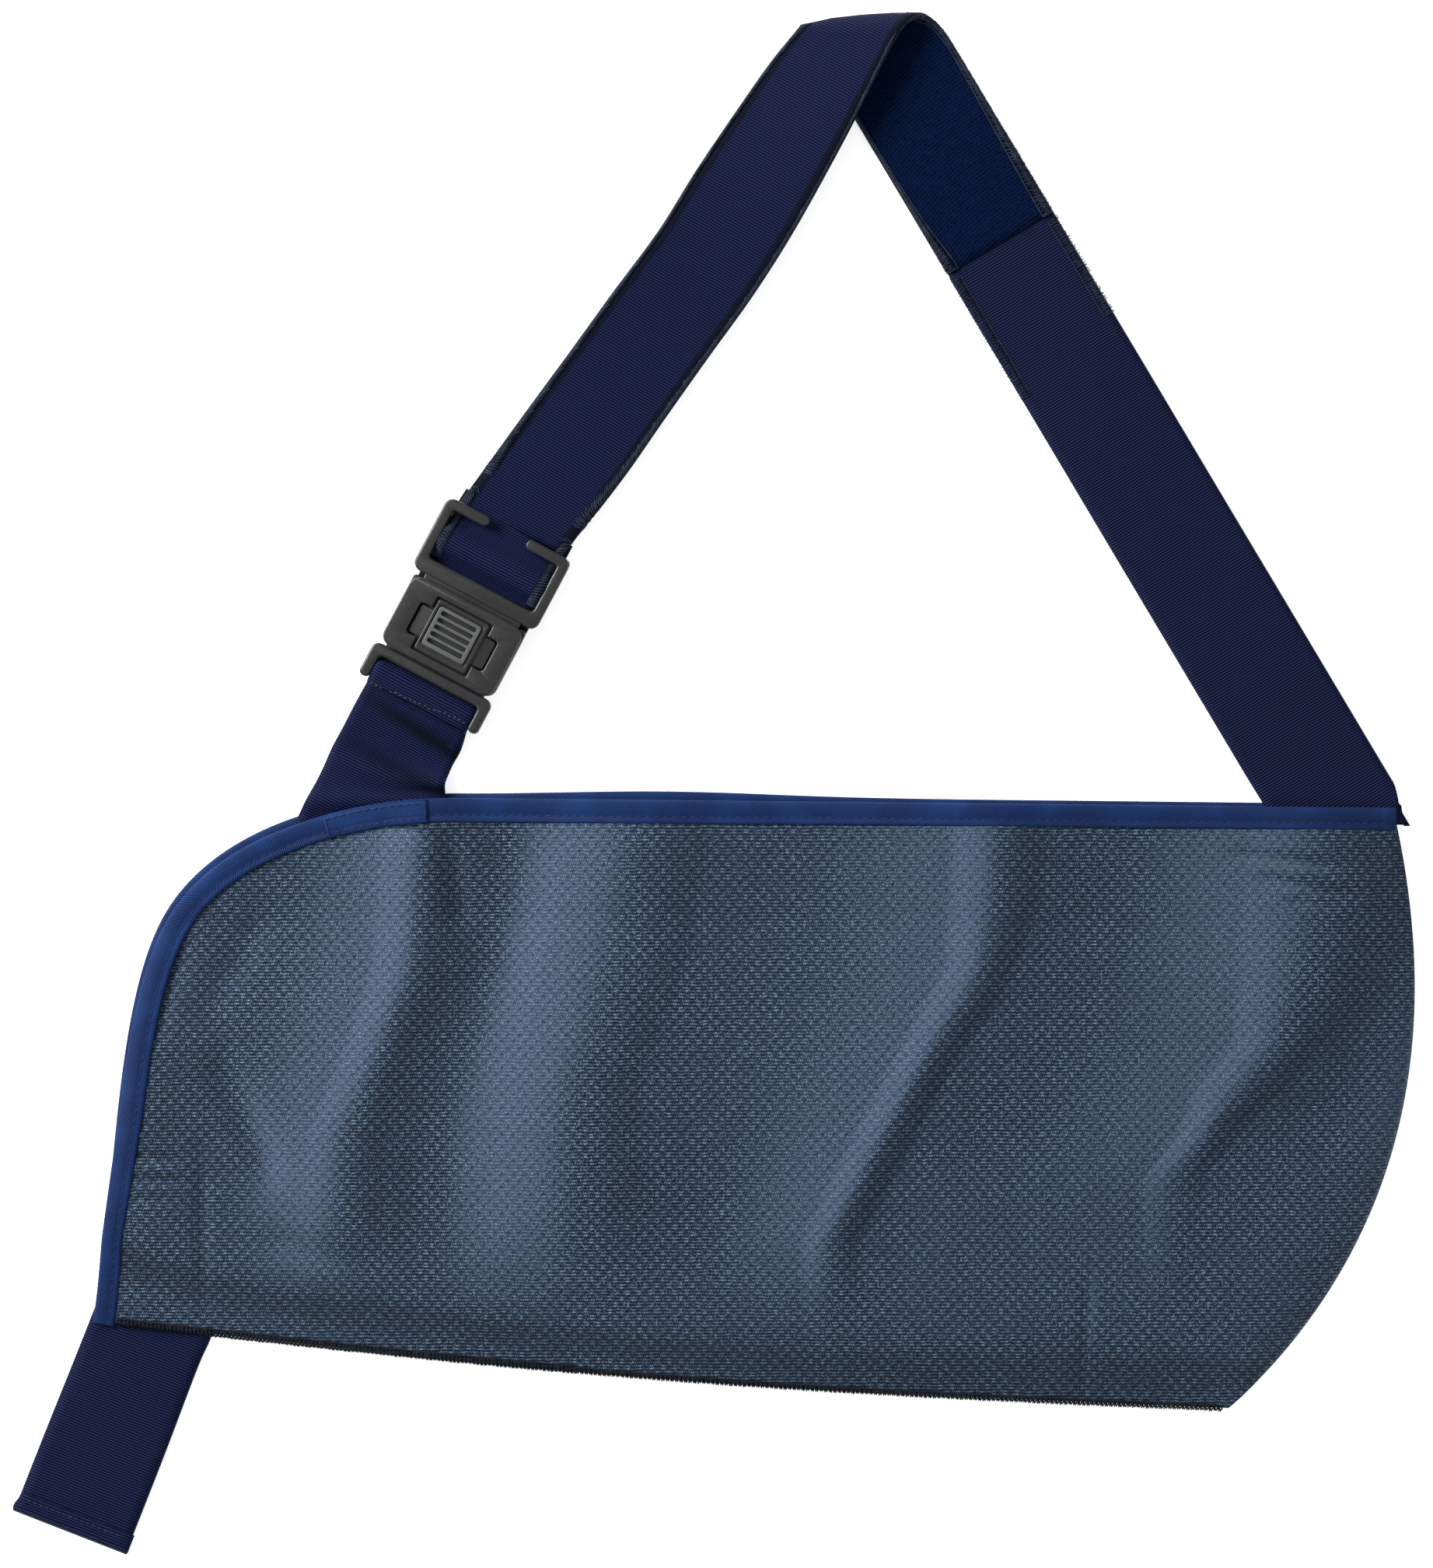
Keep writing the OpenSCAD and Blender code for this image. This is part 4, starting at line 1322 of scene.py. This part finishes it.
def bar(y, z, r, w):
    """A round bar across the buckle."""
    rings = []
    for x, k in ((-w / 2, 0.6), (-w / 2 + 0.4, 1), (w / 2 - 0.4, 1), (w / 2, 0.6)):
        turns = [math.pi * i / 10 for i in range(20)]
        rings.append([(x, y + r * k * math.cos(a), z + r * k * math.sin(a)) for a in turns])
    bm = bmesh.new()
    lofted(bm, rings, True)
    return outward(bm, bpy.data.meshes.new("bar"))


def housing():
    u_shape = mirrored([(-18.6, -10.5, 1.0), (-18.6, 12.5, 0.4), (-20.8, 12.5, 1.0), (-20.8, -12.5, 3.6)])
    rear = mirrored([(-22.0, -13.0, 2.6), (-22.0, -25.2, 1.7), (-18.4, -25.2, 1.7), (-18.4, -16.6, 1.6)])
    meshes = [
        plate("floor", [box(41.6, 25, 3.6)], 4.0, 5.4, 0.5),
        plate("walls", [u_shape], 5.2, 8.62, 0.25),
        plate("arch", [rear], 4.8, 9.0, 0.8),
        # Painted shade: the neck and the lip reach in under the arch, so dark plastic stands where the
        # strap below lies in shade.
        plate("neck", [box(36.4, 5.4, 0.4, 0, -14.2)], 4.5, 7.4, 0.3),
        plate("lip", [box(36.4, 6.4, 0.4, 0, -14.3)], 3.95, 4.55, 0.1),
        bar(-19.8, 6.2, 1.3, 41.4),
    ]
    moulded("buckle_housing", meshes, "strap_loop", "housing_base")


def cover():
    cross = mirrored([
        (-10.3, 9.35, 0.6), (-10.3, 5.3, 0.3), (-14.3, 5.3, 1.2),
        (-14.3, -5.8, 1.2), (-10.3, -5.8, 0.3), (-10.3, -9.8, 0.6),
    ])
    top = plate("top", [box(41, 25, 3.8), cross], 8.6, 10.6, 0.45)
    moulded("buckle_cover", [top], "strap_loop", "housing_cover")


def skirt():
    """The button's rim round its ribbed plate, and the lip that slopes away below it."""
    bm = bmesh.new()
    rings = []
    for w, l, cx, cy, r, z in (
        (18.8, 18.2, 0.0, -0.2, 0.9, 8.2), (18.8, 18.2, 0.0, -0.2, 0.9, 10.0),
        (18.5, 17.9, 0.0, -0.2, 0.9, 10.25), (18.2, 17.6, 0.0, -0.2, 0.9, 10.3),
        (16.5, 15.0, -0.2, 0.1, 1.1, 10.3), (16.3, 14.8, -0.2, 0.1, 1.1, 10.2),
        (16.2, 14.7, -0.2, 0.1, 1.0, 9.8), (14.4, 12.9, -0.2, 0.1, 0.9, 9.8),
    ):
        rings.append([(*p, z) for p in fillet(box(w, l, r, cx, cy))])
    lofted(bm, rings, False)
    profile = [
        (-6.2, 9.6), (-6.2, 10.66), (-6.9, 10.66), (-7.2, 10.6), (-8.6, 10.12), (-8.9, 10.0), (-9.2, 9.6),
    ]
    lofted(bm, [[(x, y, z) for y, z in profile] for x in (-7.8, -7.5, 7.1, 7.4)], True)
    return outward(bm, bpy.data.meshes.new("skirt"))


def button():
    slots = [box(12.9, 1.45, 0.7, -0.2, 0.25 + 2.45 * (k - 2)) for k in range(5)]
    meshes = [
        plate("ribbed", [box(15.4, 13.9, 1.0, -0.2, 0.1)] + slots, 9.5, 11.0, 0.2),
        plate("under", [box(14.8, 13.3, 0.9, -0.2, 0.1)], 8.9, 9.55, 0.1),
        plate("wings", [box(27.4, 10.1, 0.9, 0, -0.25)], 8.0, 9.6, 0.3),
        plate("flange", [box(23, 20.0, 1.0, 0, -0.2)], 7.3, 8.3, 0.1),
        skirt(),
    ]
    moulded("release_button", meshes, "button", "push_button")


def slider():
    y0 = 13.9
    y1 = 40.3
    c_shape = mirrored([
        (-19.4, y0 + 5.4, 1.4), (-19.4, y1 - 3.6, 1.0), (-6.9, y1 - 3.6, 1.78),
        (-6.9, y1, 1.78), (-23.0, y1, 3.2), (-23.0, y0, 3.2),
    ])
    lower = mirrored([
        (-19.6, y0 + 5.2, 1.0), (-19.6, y1 - 0.4, 1.0), (-22.8, y1 - 0.4, 1.5), (-22.8, y0 + 0.2, 3.0),
    ])
    prongs = mirrored([(-17.6, 15.8, 0.4), (-17.6, -8.4, 0.8), (-14.8, -8.4, 0.8), (-14.8, 10.6, 0.6)])
    meshes = [
        plate("c_plate", [c_shape], 5.3, 8.2, 0.8),
        plate("base", [lower], 4.2, 6.0, 0.6),
        bar(27.1, 5.45, 1.3, 43.4),
        plate("prongs", [prongs], 5.75, 7.9, 0.3),
    ]
    moulded("slider_plug", meshes, "plug", "plug")


housing()
cover()
button()
slider()
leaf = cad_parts["spring_leaf"]
leaf.data.materials.clear()
leaf.data.materials.append(STEEL)


# ---- floor, light and camera
floor_mesh = bpy.data.meshes.new("floor")
floor_mesh.from_pydata([(-4, -4, 0), (4, -4, 0), (4, 4, 0), (-4, 4, 0)], [], [(0, 1, 2, 3)])
floor = in_scene("floor", floor_mesh)
paper = Surface("paper", Roughness=0.9, Specular_IOR_Level=0.1, Emission_Strength=0.7)
paper.shader.inputs["Emission Color"].default_value = (1, 1, 1, 1)
paper_colour = paper.blend(paper.noise(3.0), (0.93, 0.93, 0.93), (0.95, 0.95, 0.95))
floor_mesh.materials.append(paper.finish(paper_colour))


def area_light(name, place, size, power, colour):
    lamp = bpy.data.lights.new(name, "AREA")
    lamp.size = size
    lamp.energy = power
    lamp.color = colour
    obj = in_scene(name, lamp)
    obj.location = place
    obj.rotation_euler = (-Vector(place)).to_track_quat("-Z", "Y").to_euler()


area_light("key", (-1.25, 0.75, 0.80), 0.8, 42, (1.0, 0.99, 0.97))
area_light("fill", (1.3, -0.6, 1.4), 1.6, 5, (0.96, 0.98, 1.0))

world = bpy.data.worlds.new("studio")
bpy.context.scene.world = world
world.use_nodes = True
world.node_tree.nodes["Background"].inputs[0].default_value = (1, 1, 1, 1)
world.node_tree.nodes["Background"].inputs[1].default_value = 0.34
bpy.context.scene.view_settings.view_transform = "Standard"

CAMERA_HEIGHT = 0.9
FRAME_HEIGHT = 0.5201
lens = bpy.data.cameras.new("camera")
lens.sensor_fit = "VERTICAL"
lens.sensor_height = 36
lens.lens = 36 * CAMERA_HEIGHT / FRAME_HEIGHT
camera = in_scene("camera", lens)
camera.location = (0, 0, CAMERA_HEIGHT)
bpy.context.scene.camera = camera
